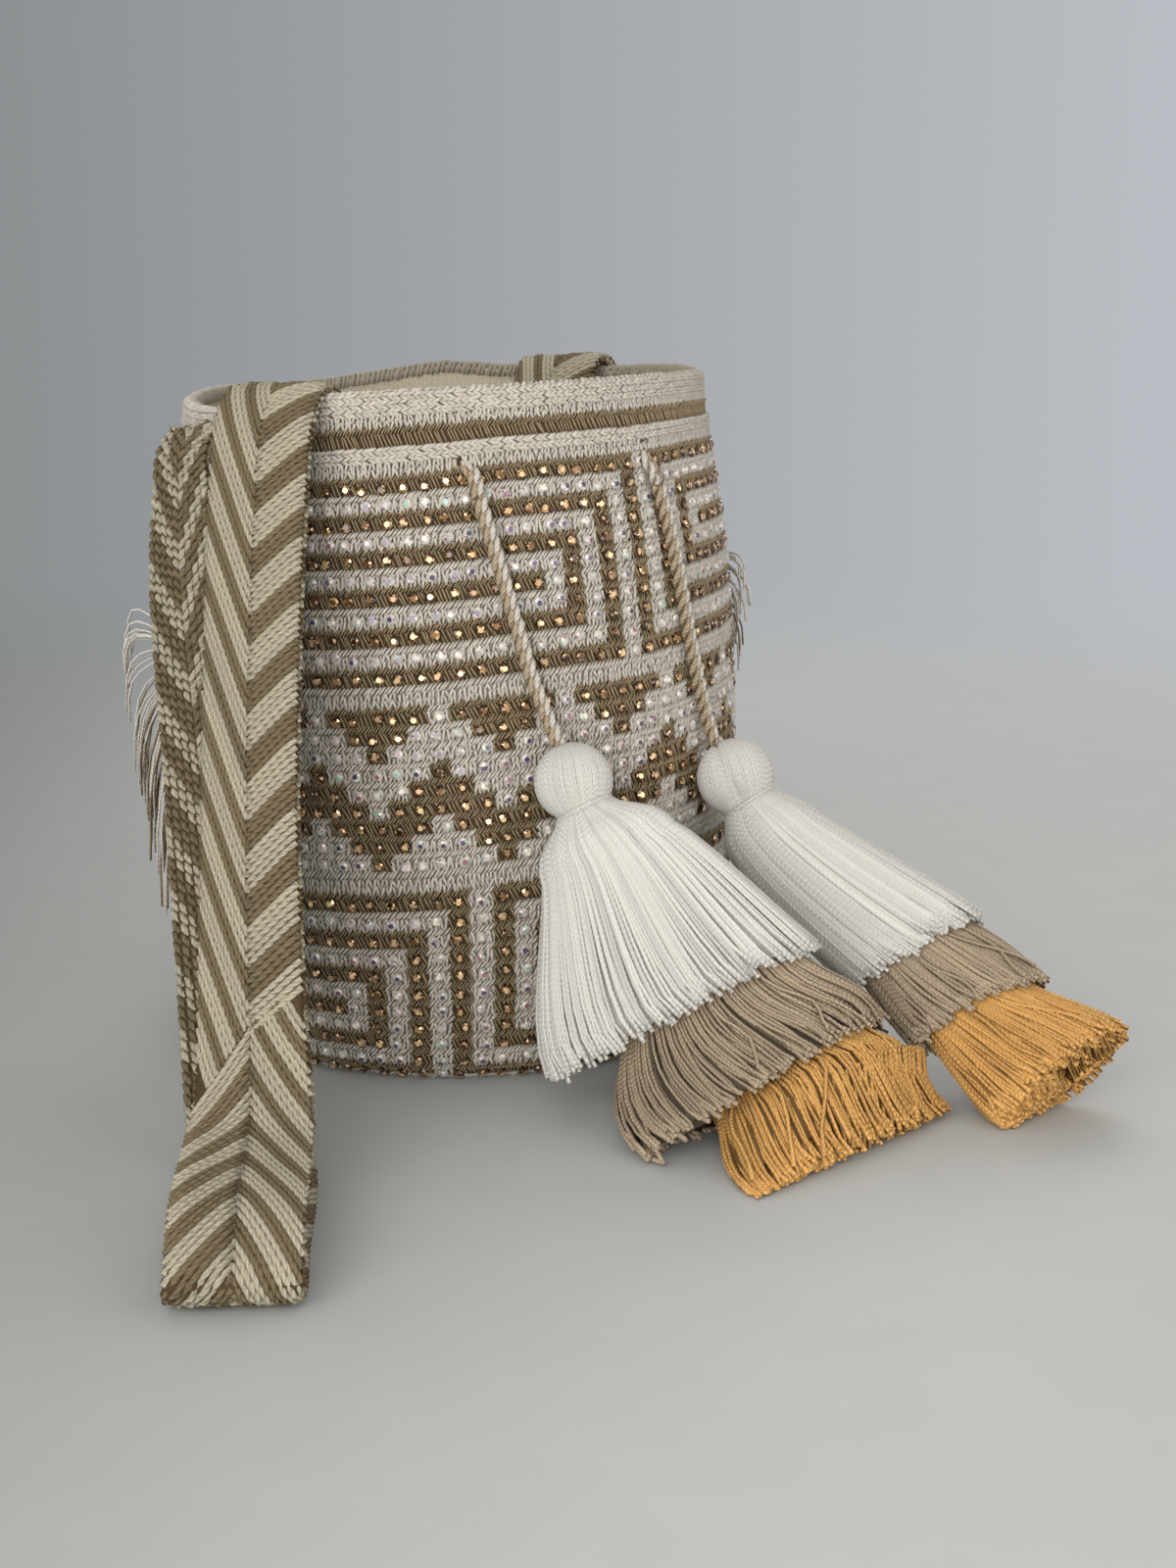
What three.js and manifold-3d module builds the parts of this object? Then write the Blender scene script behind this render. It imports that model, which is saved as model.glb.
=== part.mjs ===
// A crocheted bucket bag with a woven shoulder strap, a twisted drawstring and two tiered tassels.
// Millimetres, +Z up, the bag stands on Z = 0 and its front faces -Y.
// Angles round the bag are degrees from the front, positive towards +X.
import * as THREE from 'three';
import { mergeVertices } from 'three/addons/utils/BufferGeometryUtils.js';
import ManifoldModule from 'manifold-3d';

const wasm = await ManifoldModule();
wasm.setup();

const BAG_HEIGHT = 252.5;
const WALL = 4;
const AROUND = 48;
const SEAT_GAP = 0.4;

const STRAP_WIDTH = 40;
const STRAP_THICKNESS = 3.2;
const STRAP_STEPS = 2;

const CORD_DIAMETER = 5;
const CORD_SIDES = 8;
const CORD_HEIGHT = 226;
const EYELET_CLEARANCE = 0.7;
const EYELET_HALF_TURN = 7;
// The last steps of the threaded part at each front eyelet, as it turns down to meet its tail.
const LEFT_EXIT = [
  { angle: 4.9, height: 223.8, offset: 2.8 },
  { angle: 5.3, height: 220.4, offset: 4.4 },
];
const RIGHT_EXIT = [
  { angle: 43.3, height: 222.8, offset: 2.8 },
  { angle: 43.8, height: 219.2, offset: 4.4 },
];
// The eyelets in the order the cord meets them, from the front leftwards round the back.
const EYELET_ANGLES = [2.5, -43, -90, -135, -180, -214, -256, -315.5];

const LOCKS = 15;
const LOCK_DEPTH = 0.06;
const HEM_STEP = 2.5;

const COLOURS = {
  cream: 0xd6cec0,
  tan: 0x96826a,
  white: 0xebebe8,
  taupe: 0xa59176,
  gold: 0xdea555,
};

// The bag's outline: outer radius, sideways lean of the axis and slope of the rows at each height.
const BAG_SECTIONS = [
  { height: 0, radius: 93, shift: 4, tilt: 0 },
  { height: 3, radius: 99, shift: 4, tilt: 0 },
  { height: 10, radius: 102.5, shift: 4, tilt: 0.005 },
  { height: 30, radius: 105.5, shift: 4, tilt: 0.02 },
  { height: 60, radius: 108, shift: 3.5, tilt: 0.04 },
  { height: 110, radius: 110, shift: 2.5, tilt: 0.058 },
  { height: 150, radius: 109.5, shift: 1.5, tilt: 0.06 },
  { height: 190, radius: 107, shift: 0.5, tilt: 0.055 },
  { height: 225, radius: 102.5, shift: -0.5, tilt: 0.045 },
  { height: 252.5, radius: 99, shift: -1, tilt: 0.035 },
];

// How far the rim stands above or below its mean height, round the mouth.
const RIM_RISE = [
  { angle: -180, rise: 3.5 },
  { angle: -140, rise: -2.5 },
  { angle: -112, rise: -1.4 },
  { angle: -90, rise: -3.1 },
  { angle: -58, rise: -5.6 },
  { angle: -32, rise: -1.2 },
  { angle: 0, rise: 0.7 },
  { angle: 45, rise: 1.2 },
  { angle: 90, rise: 0 },
  { angle: 115, rise: 0.5 },
  { angle: 148, rise: -1 },
  { angle: 180, rise: 3.5 },
];
const RIM_RISE_FROM = 180;

// The strap, from its left sewn end to its right one. Stations on the wall give angle, height and offset,
// the others x, y, z; heading and rise turn the band's width line in plan and upwards.
const STRAP_STATIONS = [
  { angle: -52, height: 168, offset: 2.2, heading: -54, rise: 0 },
  { angle: -52, height: 190, offset: 2.2, heading: -54, rise: 0 },
  { angle: -52, height: 208, offset: 2.6, heading: -54, rise: 0 },
  { angle: -52, height: 223, offset: 7.6, heading: -54, rise: 3 },
  { angle: -52, height: 238, offset: 8.8, heading: -55, rise: 8 },
  { angle: -52, height: 246.5, offset: 13, heading: -56, rise: 11 },
  { angle: -52, height: 238.5, offset: 18.4, heading: -57, rise: 9 },
  { x: -95.5, y: -77, z: 217, heading: -57, rise: 4 },
  { x: -94.5, y: -92, z: 185, heading: -53, rise: 0 },
  { x: -86.8, y: -122, z: 120, heading: -47, rise: 0 },
  { x: -79, y: -153, z: 60, heading: -38, rise: 0 },
  { x: -72, y: -178, z: 20, heading: -26, rise: 0 },
  { x: -67, y: -196, z: 5.2, heading: -14, rise: 0 },
  { x: -65.5, y: -215, z: 2.3, heading: -8, rise: 0 },
  { x: -65.5, y: -252, z: 2, heading: -2, rise: 0 },
  { x: -64.5, y: -284, z: 2.3, heading: 0, rise: 0 },
  { x: -64.5, y: -295, z: 4.6, heading: 0, rise: 0 },
  { x: -64.5, y: -297.5, z: 9.5, heading: 0, rise: 0 },
  { x: -64.5, y: -290, z: 16.5, heading: -1, rise: 0 },
  { x: -64.7, y: -277, z: 22.5, heading: -3, rise: 0 },
  { x: -65, y: -260, z: 25, heading: -6, rise: 0 },
  { x: -65, y: -240, z: 26, heading: -11, rise: 0 },
  { x: -65, y: -221, z: 30, heading: -18, rise: 0 },
  { x: -65.2, y: -207, z: 44, heading: -25, rise: 0 },
  { x: -66, y: -194, z: 73, heading: -32, rise: 0 },
  { x: -67, y: -168, z: 120, heading: -38, rise: 0 },
  { x: -67, y: -135, z: 175, heading: -36, rise: 0 },
  { x: -66, y: -110, z: 217, heading: -32, rise: 0 },
  { x: -64, y: -94, z: 243, heading: -30, rise: 0 },
  { x: -59, y: -78, z: 253, heading: -32, rise: 0 },
  { x: -51, y: -66, z: 248, heading: -35, rise: 0 },
  { x: -43, y: -55, z: 236, heading: -37, rise: 0 },
  { x: -29, y: -36, z: 218, heading: -36, rise: 0 },
  { x: 0, y: 4, z: 207, heading: -36, rise: 0 },
  { x: 28, y: 44, z: 222, heading: -36, rise: 0 },
  { x: 41, y: 64, z: 244, heading: -38, rise: 0 },
  { x: 49, y: 78, z: 257.5, heading: -40, rise: 2 },
  { x: 55.5, y: 89.5, z: 254.5, heading: -40, rise: 3 },
  { angle: 145, height: 238, offset: 9.5, heading: -42, rise: 12 },
  { angle: 141, height: 222, offset: 7.8, heading: -44, rise: 18 },
  { angle: 136, height: 206, offset: 2.6, heading: -46, rise: 20 },
  { angle: 132, height: 188, offset: 2.3, heading: -48, rise: 20 },
  { angle: 128, height: 168, offset: 2.3, heading: -52, rise: 20 },
];

// Locks of each fringe: where each leaves the bar along the band's width, and where its tip hangs.
const FRINGE_LEFT = [
  { along: -0.45, angle: -90, height: 140, offset: 19 },
  { along: -0.32, angle: -88, height: 100, offset: 15 },
  { along: -0.19, angle: -83, height: 82, offset: 12 },
  { along: -0.06, angle: -77, height: 70, offset: 10 },
  { along: 0.06, angle: -68, height: 80, offset: 6 },
  { along: 0.19, angle: -59, height: 84, offset: 6 },
  { along: 0.32, angle: -51, height: 90, offset: 5 },
  { along: 0.45, angle: -44, height: 96, offset: 5 },
];
const FRINGE_RIGHT = [
  { along: -0.45, angle: 138, height: 104, offset: 5 },
  { along: -0.32, angle: 133, height: 96, offset: 6 },
  { along: -0.19, angle: 128, height: 102, offset: 5 },
  { along: -0.06, angle: 122, height: 95, offset: 6 },
  { along: 0.06, angle: 116, height: 104, offset: 5 },
  { along: 0.19, angle: 110, height: 118, offset: 6 },
  { along: 0.32, angle: 103, height: 136, offset: 7 },
  { along: 0.45, angle: 97, height: 156, offset: 8 },
];
const FRINGE_BAR = 3;
const LOCK_TOP_RADIUS = 2.2;
const LOCK_TIP_RADIUS = 1.3;
const LOCK_STEPS = 5;
const LOCK_SIDES = 5;

// The free tails of the drawstring as they lie on the wall, from the eyelet down towards the tassel.
const TAIL_APPROACH = 6;
const TAIL_STEPS = 14;
const TAIL_LEFT = [
  { angle: 5.8, height: 215.5, offset: 5 },
  { angle: 6.3, height: 211, offset: 5 },
  { angle: 7.5, height: 202, offset: 5 },
  { angle: 9, height: 190, offset: 5 },
  { angle: 10.6, height: 177, offset: 5 },
  { angle: 12.2, height: 164, offset: 5 },
  { angle: 13.8, height: 151, offset: 5.4 },
];
const TAIL_RIGHT = [
  { angle: 44.4, height: 214, offset: 5 },
  { angle: 44.9, height: 209, offset: 5 },
  { angle: 46.2, height: 197, offset: 5 },
  { angle: 47.4, height: 183, offset: 5 },
  { angle: 48.7, height: 168, offset: 5 },
  { angle: 50.2, height: 153, offset: 5 },
  { angle: 51.9, height: 138, offset: 5.4 },
];

// Each tassel's axis from the head to the last hem: half width and half thickness of the flattened skirt,
// and the turn of its width line in plan and upwards. Swell rounds the shoulder under the neck, and the lower
// tiers start at a share of the full section.
// At a hem, drop is how much longer the tier hangs at one turn round the section.
const TASSEL_LEFT = {
  headRadius: 14,
  swell: 0.4,
  tierStart: 0.58,
  head: { x: 43, y: -119, z: 117, width: 14, thick: 14, heading: -9, rise: 25 },
  neck: { x: 46.8, y: -122.5, z: 107.6, width: 10, thick: 10, heading: -9, rise: 25 },
  shoulder: { x: 56.5, y: -128.5, z: 90.5, width: 27.5, thick: 17, heading: -8, rise: 27 },
  whiteHem: { x: 80, y: -145, z: 41, width: 53, thick: 20, heading: -4, rise: 25, drop: 8, dropTurn: 135 },
  taupeHem: { x: 107, y: -164, z: 18, width: 52, thick: 20, heading: 28, rise: 17, drop: 11, dropTurn: 90 },
  goldHem: { x: 136, y: -185, z: 7, width: 52, thick: 20, heading: 42, rise: 6 },
};
const TASSEL_RIGHT = {
  headRadius: 14.5,
  swell: 0.15,
  tierStart: 0.745,
  head: { x: 106.5, y: -73, z: 108, width: 14.5, thick: 14.5, heading: -14, rise: 32 },
  neck: { x: 111.7, y: -76.6, z: 98.3, width: 10.5, thick: 10.5, heading: -14, rise: 32 },
  shoulder: { x: 124, y: -84, z: 83.5, width: 19.5, thick: 15.5, heading: -14, rise: 34 },
  whiteHem: { x: 170, y: -110, z: 49, width: 28, thick: 18, heading: -14, rise: 34 },
  taupeHem: { x: 191, y: -127, z: 30, width: 27, thick: 18, heading: 0, rise: 29 },
  goldHem: { x: 216, y: -153, z: 13, width: 30, thick: 18, heading: 24, rise: 26 },
};
// Where those sections lie along the axis, as a share of it.
const SHARE = { neck: 0.2, whiteHem: 0.6, taupeHem: 0.8, goldHem: 1 };
const HEAD_POLE_ANGLES = [24, 52, 80, 108, 132];
const SKIRT_SHARES = [0.14, 0.27, 0.5, 0.77, 1];
const SHOULDER_END = 0.5;
const TIE_RADIUS = 0.7;
const TIE_RISE = 0.3;
const TIE_SIDES = 6;

const radians = (degrees) => (degrees * Math.PI) / 180;
const mix = (from, to, share) => from + (to - from) * share;

// A smooth curve through one column of a table, read at a value of its key column.
function column(table, key, name) {
  const keys = table.map((row) => row[key]);
  const values = table.map((row) => row[name]);
  const last = keys.length - 1;
  const slope = (i) => {
    const before = Math.max(0, i - 1);
    const after = Math.min(last, i + 1);
    return (values[after] - values[before]) / (keys[after] - keys[before]);
  };
  return (value) => {
    const clamped = Math.min(Math.max(value, keys[0]), keys[last]);
    let i = 0;
    while (i < last - 1 && clamped > keys[i + 1]) i += 1;
    const span = keys[i + 1] - keys[i];
    const t = (clamped - keys[i]) / span;
    const s = 1 - t;
    return (
      values[i] * s * s * (1 + 2 * t) +
      slope(i) * span * t * s * s +
      values[i + 1] * t * t * (3 - 2 * t) -
      slope(i + 1) * span * t * t * s
    );
  };
}

const bagRadius = column(BAG_SECTIONS, 'height', 'radius');
const bagShift = column(BAG_SECTIONS, 'height', 'shift');
const bagTilt = column(BAG_SECTIONS, 'height', 'tilt');
const rimRise = column(RIM_RISE, 'angle', 'rise');

// A point on the outside of the wall, moved outwards by an offset (inwards where it is negative).
function wallPoint(angle, height, offset = 0) {
  const turn = radians(angle);
  const radius = bagRadius(height) + offset;
  const across = radius * Math.sin(turn);
  const wrapped = ((((angle + 180) % 360) + 360) % 360) - 180;
  const nearRim = THREE.MathUtils.smoothstep(height, RIM_RISE_FROM, BAG_HEIGHT);
  return new THREE.Vector3(
    bagShift(height) + across,
    -radius * Math.cos(turn),
    height + bagTilt(height) * across + rimRise(wrapped) * nearRim,
  );
}

function stationPoint(row) {
  if (row.angle === undefined) return new THREE.Vector3(row.x, row.y, row.z);
  return wallPoint(row.angle, row.height, row.offset);
}

function widthLine(row) {
  const heading = radians(row.heading);
  const rise = radians(row.rise);
  return new THREE.Vector3(
    Math.cos(heading) * Math.cos(rise),
    Math.sin(heading) * Math.cos(rise),
    Math.sin(rise),
  );
}

// A closed body through rings of equal point counts, capped at both ends and turned to face outwards.
function loft(rings) {
  const count = rings[0].length;
  const points = rings.flat();
  const faces = [];
  for (let i = 0; i < rings.length - 1; i += 1) {
    for (let j = 0; j < count; j += 1) {
      const next = (j + 1) % count;
      const a = i * count + j;
      const b = i * count + next;
      faces.push([a, b, b + count], [a, b + count, a + count]);
    }
  }
  const middle = (ring) =>
    ring.reduce((sum, p) => sum.add(p), new THREE.Vector3()).divideScalar(ring.length);
  const start = points.push(middle(rings[0])) - 1;
  const end = points.push(middle(rings[rings.length - 1])) - 1;
  const lastRing = (rings.length - 1) * count;
  for (let j = 0; j < count; j += 1) {
    const next = (j + 1) % count;
    faces.push([start, next, j], [end, lastRing + j, lastRing + next]);
  }
  let volume = 0;
  for (const [a, b, c] of faces) {
    volume += points[a].dot(new THREE.Vector3().crossVectors(points[b], points[c]));
  }
  const order = volume > 0 ? faces : faces.map(([a, b, c]) => [a, c, b]);
  const geometry = new THREE.BufferGeometry().setFromPoints(points);
  geometry.setIndex(order.flat());
  return geometry;
}

// Joining and cutting of closed bodies.
function toSolid(geometry) {
  const bare = geometry.clone();
  bare.deleteAttribute('normal');
  bare.deleteAttribute('uv');
  const merged = mergeVertices(bare, 1e-4);
  return new wasm.Manifold(
    new wasm.Mesh({
      numProp: 3,
      vertProperties: new Float32Array(merged.attributes.position.array),
      triVerts: new Uint32Array(merged.index.array),
    }),
  );
}

function fromSolid(solid) {
  const mesh = solid.getMesh();
  const geometry = new THREE.BufferGeometry();
  geometry.setAttribute('position', new THREE.BufferAttribute(mesh.vertProperties, 3));
  geometry.setIndex(new THREE.BufferAttribute(mesh.triVerts, 1));
  return geometry;
}

// A round cord along a curve, extruded from a polygon.
function cordTube(curve, radius, steps) {
  const outline = new THREE.Shape();
  for (let i = 0; i < CORD_SIDES; i += 1) {
    const turn = (2 * Math.PI * i) / CORD_SIDES;
    const x = radius * Math.cos(turn);
    const y = radius * Math.sin(turn);
    if (i === 0) outline.moveTo(x, y);
    else outline.lineTo(x, y);
  }
  outline.closePath();
  return new THREE.ExtrudeGeometry(outline, { steps, extrudePath: curve, curveSegments: 1 });
}

// The bag: from the middle of the floor inside, up the inner wall, over the rim and down the outside.
function bagRings() {
  const ring = (height, offset, drop = 0) => {
    const points = [];
    for (let j = 0; j < AROUND; j += 1) {
      const point = wallPoint((360 * j) / AROUND - 180, height, offset);
      point.z = Math.max(0, point.z - drop);
      points.push(point);
    }
    return points;
  };
  const rings = [];
  const innerFloor = ring(0, -WALL);
  innerFloor.forEach((p) => p.setZ(WALL));
  rings.push(innerFloor);
  for (const height of [10, 30, 60, 110, 150, 190, 215, 238]) rings.push(ring(height, -WALL));
  rings.push(ring(BAG_HEIGHT, -WALL, 1.4));
  rings.push(ring(BAG_HEIGHT, -0.5 * WALL));
  rings.push(ring(BAG_HEIGHT, 0, 1.4));
  for (const height of [238, 215, 190, 150, 110, 80, 50, 30, 16, 8, 3, 0]) rings.push(ring(height, 0));
  return rings;
}

// The threaded part of the drawstring, which crosses the wall at each eyelet.
function drawstringCurve() {
  const outside = CORD_DIAMETER / 2 + EYELET_CLEARANCE;
  const inside = -WALL - CORD_DIAMETER / 2 - EYELET_CLEARANCE;
  const points = [TAIL_LEFT[0], LEFT_EXIT[1], LEFT_EXIT[0]].map(stationPoint);
  const add = (angle, offset) => points.push(wallPoint(angle, CORD_HEIGHT, offset));
  const crossing = [-1, -0.6, -0.3, 0, 0.3, 0.6, 1];
  EYELET_ANGLES.forEach((eyelet, i) => {
    const inwards = i % 2 === 0;
    const from = inwards ? outside : inside;
    const to = inwards ? inside : outside;
    for (const share of crossing) {
      const first = i === 0 && share < 0;
      const last = i === EYELET_ANGLES.length - 1 && share > 0;
      if (first || last) continue;
      const rounded = 0.5 + 0.5 * Math.sin((share * Math.PI) / 2);
      add(eyelet - share * EYELET_HALF_TURN, mix(from, to, rounded));
    }
    if (i === EYELET_ANGLES.length - 1) return;
    const start = eyelet - EYELET_HALF_TURN;
    const end = EYELET_ANGLES[i + 1] + EYELET_HALF_TURN;
    for (const share of [0.25, 0.5, 0.75]) add(mix(start, end, share), to);
  });
  points.push(...[RIGHT_EXIT[0], RIGHT_EXIT[1], TAIL_RIGHT[0]].map(stationPoint));
  return new THREE.CatmullRomCurve3(points, false, 'centripetal');
}

// A free tail starts a small gap past the threaded part and ends a small gap above the tassel's head.
function tailCurve(rows, tassel) {
  const points = rows.map(stationPoint);
  const step = points[1].clone().sub(points[0]).normalize();
  points[0].addScaledVector(step, SEAT_GAP);
  const { centre, along } = tasselAxis(tassel).frameAt(0);
  const topOfHead = tassel.headRadius * Math.cos(radians(HEAD_POLE_ANGLES[0])) + SEAT_GAP;
  points.push(centre.clone().addScaledVector(along, -topOfHead - TAIL_APPROACH));
  points.push(centre.clone().addScaledVector(along, -topOfHead));
  return new THREE.CatmullRomCurve3(points, false, 'centripetal');
}

// The strap: a flat band with rounded edges, lofted along its stations.
function strapRings() {
  const centres = new THREE.CatmullRomCurve3(STRAP_STATIONS.map(stationPoint), false, 'centripetal');
  const widths = new THREE.CatmullRomCurve3(STRAP_STATIONS.map(widthLine));
  const count = (STRAP_STATIONS.length - 1) * STRAP_STEPS;
  const half = STRAP_WIDTH / 2;
  const edge = STRAP_THICKNESS / 2;
  const section = [
    [-half, 0],
    [-half + edge, -edge],
    [half - edge, -edge],
    [half, 0],
    [half - edge, edge],
    [-half + edge, edge],
  ];
  const rings = [];
  for (let i = 0; i <= count; i += 1) {
    const share = i / count;
    const centre = centres.getPoint(share);
    const along = centres.getTangent(share);
    const across = widths.getPoint(share);
    across.addScaledVector(along, -across.dot(along)).normalize();
    const normal = new THREE.Vector3().crossVectors(along, across);
    rings.push(
      section.map(([w, t]) =>
        centre.clone().addScaledVector(across, w).addScaledVector(normal, t),
      ),
    );
  }
  return rings;
}

// A fringe: a bar along the end of the band with tapered locks joined to it.
function fringe(endRow, nextRow, locks) {
  const end = stationPoint(endRow);
  const along = end.clone().sub(stationPoint(nextRow)).normalize();
  const across = widthLine(endRow);
  across.addScaledVector(along, -across.dot(along)).normalize();
  const out = new THREE.Vector3().crossVectors(along, across);
  const half = FRINGE_BAR / 2;
  const corners = [
    [-half, -half],
    [half, -half],
    [half, half],
    [-half, half],
  ];
  const barMiddle = end.clone().addScaledVector(along, half + SEAT_GAP);
  const barRing = (w) =>
    corners.map(([a, b]) =>
      barMiddle.clone().addScaledVector(across, w).addScaledVector(along, a).addScaledVector(out, b),
    );
  let solid = toSolid(loft([barRing(-STRAP_WIDTH / 2), barRing(STRAP_WIDTH / 2)]));
  for (const lock of locks) {
    const root = barMiddle.clone().addScaledVector(across, lock.along * STRAP_WIDTH);
    const tip = wallPoint(lock.angle, lock.height, lock.offset);
    const reach = root.distanceTo(tip);
    const leave = root.clone().addScaledVector(along, 0.25 * reach);
    const hang = tip.clone().setZ(tip.z + 0.5 * reach);
    const curve = new THREE.CubicBezierCurve3(root, leave, hang, tip);
    const rings = [];
    for (let i = 0; i <= LOCK_STEPS; i += 1) {
      const share = i / LOCK_STEPS;
      const radius = mix(LOCK_TOP_RADIUS, LOCK_TIP_RADIUS, share);
      const centre = curve.getPoint(share);
      const direction = curve.getTangent(share);
      const side = across.clone().addScaledVector(direction, -across.dot(direction)).normalize();
      const front = new THREE.Vector3().crossVectors(direction, side);
      const ring = [];
      for (let j = 0; j < LOCK_SIDES; j += 1) {
        const turn = (2 * Math.PI * j) / LOCK_SIDES;
        ring.push(
          centre
            .clone()
            .addScaledVector(side, radius * Math.cos(turn))
            .addScaledVector(front, radius * Math.sin(turn)),
        );
      }
      rings.push(ring);
    }
    solid = solid.add(toSolid(loft(rings)));
  }
  return fromSolid(solid);
}

// A tassel: sections along its axis, each an ellipse with shallow locks round it.
function tasselAxis(tassel) {
  const rows = [tassel.head, tassel.neck, tassel.shoulder, tassel.whiteHem, tassel.taupeHem, tassel.goldHem];
  const centres = new THREE.CatmullRomCurve3(rows.map(stationPoint));
  const widths = new THREE.CatmullRomCurve3(rows.map(widthLine));
  const keyed = rows.map((row, i) => ({ key: i / (rows.length - 1), width: row.width, thick: row.thick }));
  const halfWidth = column(keyed, 'key', 'width');
  const halfThick = column(keyed, 'key', 'thick');
  const frameAt = (share) => {
    const along = centres.getTangent(share);
    const across = widths.getPoint(share).normalize();
    const out = new THREE.Vector3().crossVectors(along, across).normalize();
    const square = new THREE.Vector3().crossVectors(out, along);
    return { centre: centres.getPoint(share), along, across, out, square };
  };
  const ring = (share, scale, lockDepth, hem = null) => {
    const frame = frameAt(share);
    const { drop = 0, dropTurn = 0 } = hem ?? {};
    const line = share > SHARE.neck ? frame.across : frame.square;
    const points = [];
    for (let j = 0; j < 2 * LOCKS; j += 1) {
      const turn = (Math.PI * j) / LOCKS;
      const ridge = 1 - (j % 2) * lockDepth;
      const lower = drop * Math.max(0, Math.cos(turn - radians(dropTurn))) - (hem ? (j % 2) * HEM_STEP : 0);
      const point = frame.centre
        .clone()
        .addScaledVector(line, halfWidth(share) * scale * ridge * Math.cos(turn))
        .addScaledVector(frame.out, halfThick(share) * scale * ridge * Math.sin(turn))
        .addScaledVector(frame.along, lower);
      point.z = Math.max(0.1, point.z);
      points.push(point);
    }
    return points;
  };
  const rounded = (turnFromPole, radius) => {
    const frame = frameAt(0);
    const points = [];
    for (let j = 0; j < 2 * LOCKS; j += 1) {
      const turn = (Math.PI * j) / LOCKS;
      const across = radius * Math.sin(turnFromPole);
      points.push(
        frame.centre
          .clone()
          .addScaledVector(frame.along, -radius * Math.cos(turnFromPole))
          .addScaledVector(frame.square, across * Math.cos(turn))
          .addScaledVector(frame.out, across * Math.sin(turn)),
      );
    }
    return points;
  };
  return { ring, rounded, frameAt };
}

function whiteTier(axis, tassel) {
  const rings = HEAD_POLE_ANGLES.map((turn) => axis.rounded(radians(turn), tassel.headRadius));
  rings.push(axis.ring(SHARE.neck, 1, 0));
  for (const done of SKIRT_SHARES) {
    const swell = 1 + tassel.swell * Math.sin(Math.PI * Math.min(1, done / SHOULDER_END));
    const hem = done === 1 ? tassel.whiteHem : null;
    rings.push(axis.ring(mix(SHARE.neck, SHARE.whiteHem, done), swell, LOCK_DEPTH * done, hem));
  }
  rings.push(axis.ring(SHARE.whiteHem - 0.012, 0.82, 0));
  rings.push(axis.ring(SHARE.whiteHem - 0.05, 0.78, 0));
  return loft(rings);
}

function lowerTier(axis, tassel, from, to, hemRow) {
  const { tierStart } = tassel;
  const last = to === SHARE.goldHem;
  const rings = [axis.ring(from - 0.0485, tierStart, 0), axis.ring(from - 0.01, tierStart + 0.03, 0)];
  for (const done of [0.25, 0.6, 1]) {
    const scale = mix(tierStart + 0.03, 1, THREE.MathUtils.smoothstep(done, 0, 1));
    rings.push(axis.ring(mix(from, to, done), scale, LOCK_DEPTH * done, done === 1 ? hemRow : null));
  }
  if (!last) {
    rings.push(axis.ring(to - 0.012, 0.82, 0));
    rings.push(axis.ring(to - 0.05, 0.78, 0));
  }
  return loft(rings);
}

// The thread tied round the neck of a tassel, a closed ring clear of the neck.
function neckTie(axis, tassel) {
  const frame = axis.frameAt(SHARE.neck);
  const reach = tassel.neck.width + SEAT_GAP + TIE_RADIUS;
  const profile = [];
  for (let i = 0; i <= TIE_SIDES; i += 1) {
    const turn = (2 * Math.PI * i) / TIE_SIDES;
    profile.push(new THREE.Vector2(reach + TIE_RADIUS * Math.cos(turn), TIE_RADIUS * Math.sin(turn)));
  }
  const geometry = new THREE.LatheGeometry(profile, 20);
  const place = new THREE.Matrix4().makeBasis(frame.square, frame.along.clone().negate(), frame.out);
  place.setPosition(frame.centre.clone().addScaledVector(frame.along, -TIE_RISE));
  return geometry.applyMatrix4(place);
}

const group = new THREE.Group();

function add(name, geometry, colour, roughness) {
  const material = new THREE.MeshStandardMaterial({ color: colour, roughness, metalness: 0 });
  const mesh = new THREE.Mesh(geometry, material);
  mesh.name = name;
  group.add(mesh);
}

const drawstring = drawstringCurve();
const DRAWSTRING_STEPS = 100;
const clearance = cordTube(drawstring, CORD_DIAMETER / 2 + EYELET_CLEARANCE, DRAWSTRING_STEPS);
const body = toSolid(loft(bagRings())).subtract(toSolid(clearance));
add('bag_body', fromSolid(body), COLOURS.cream, 0.9);
add('strap', loft(strapRings()), COLOURS.cream, 0.9);

const stationCount = STRAP_STATIONS.length;
const leftFringe = fringe(STRAP_STATIONS[0], STRAP_STATIONS[1], FRINGE_LEFT);
const rightFringe = fringe(STRAP_STATIONS[stationCount - 1], STRAP_STATIONS[stationCount - 2], FRINGE_RIGHT);
add('strap_fringe_left', leftFringe, COLOURS.tan, 0.9);
add('strap_fringe_right', rightFringe, COLOURS.tan, 0.9);

add('drawstring_loop', cordTube(drawstring, CORD_DIAMETER / 2, DRAWSTRING_STEPS), COLOURS.cream, 0.85);
const tailLeft = cordTube(tailCurve(TAIL_LEFT, TASSEL_LEFT), CORD_DIAMETER / 2, TAIL_STEPS);
const tailRight = cordTube(tailCurve(TAIL_RIGHT, TASSEL_RIGHT), CORD_DIAMETER / 2, TAIL_STEPS);
add('drawstring_tail_left', tailLeft, COLOURS.cream, 0.85);
add('drawstring_tail_right', tailRight, COLOURS.cream, 0.85);

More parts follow.
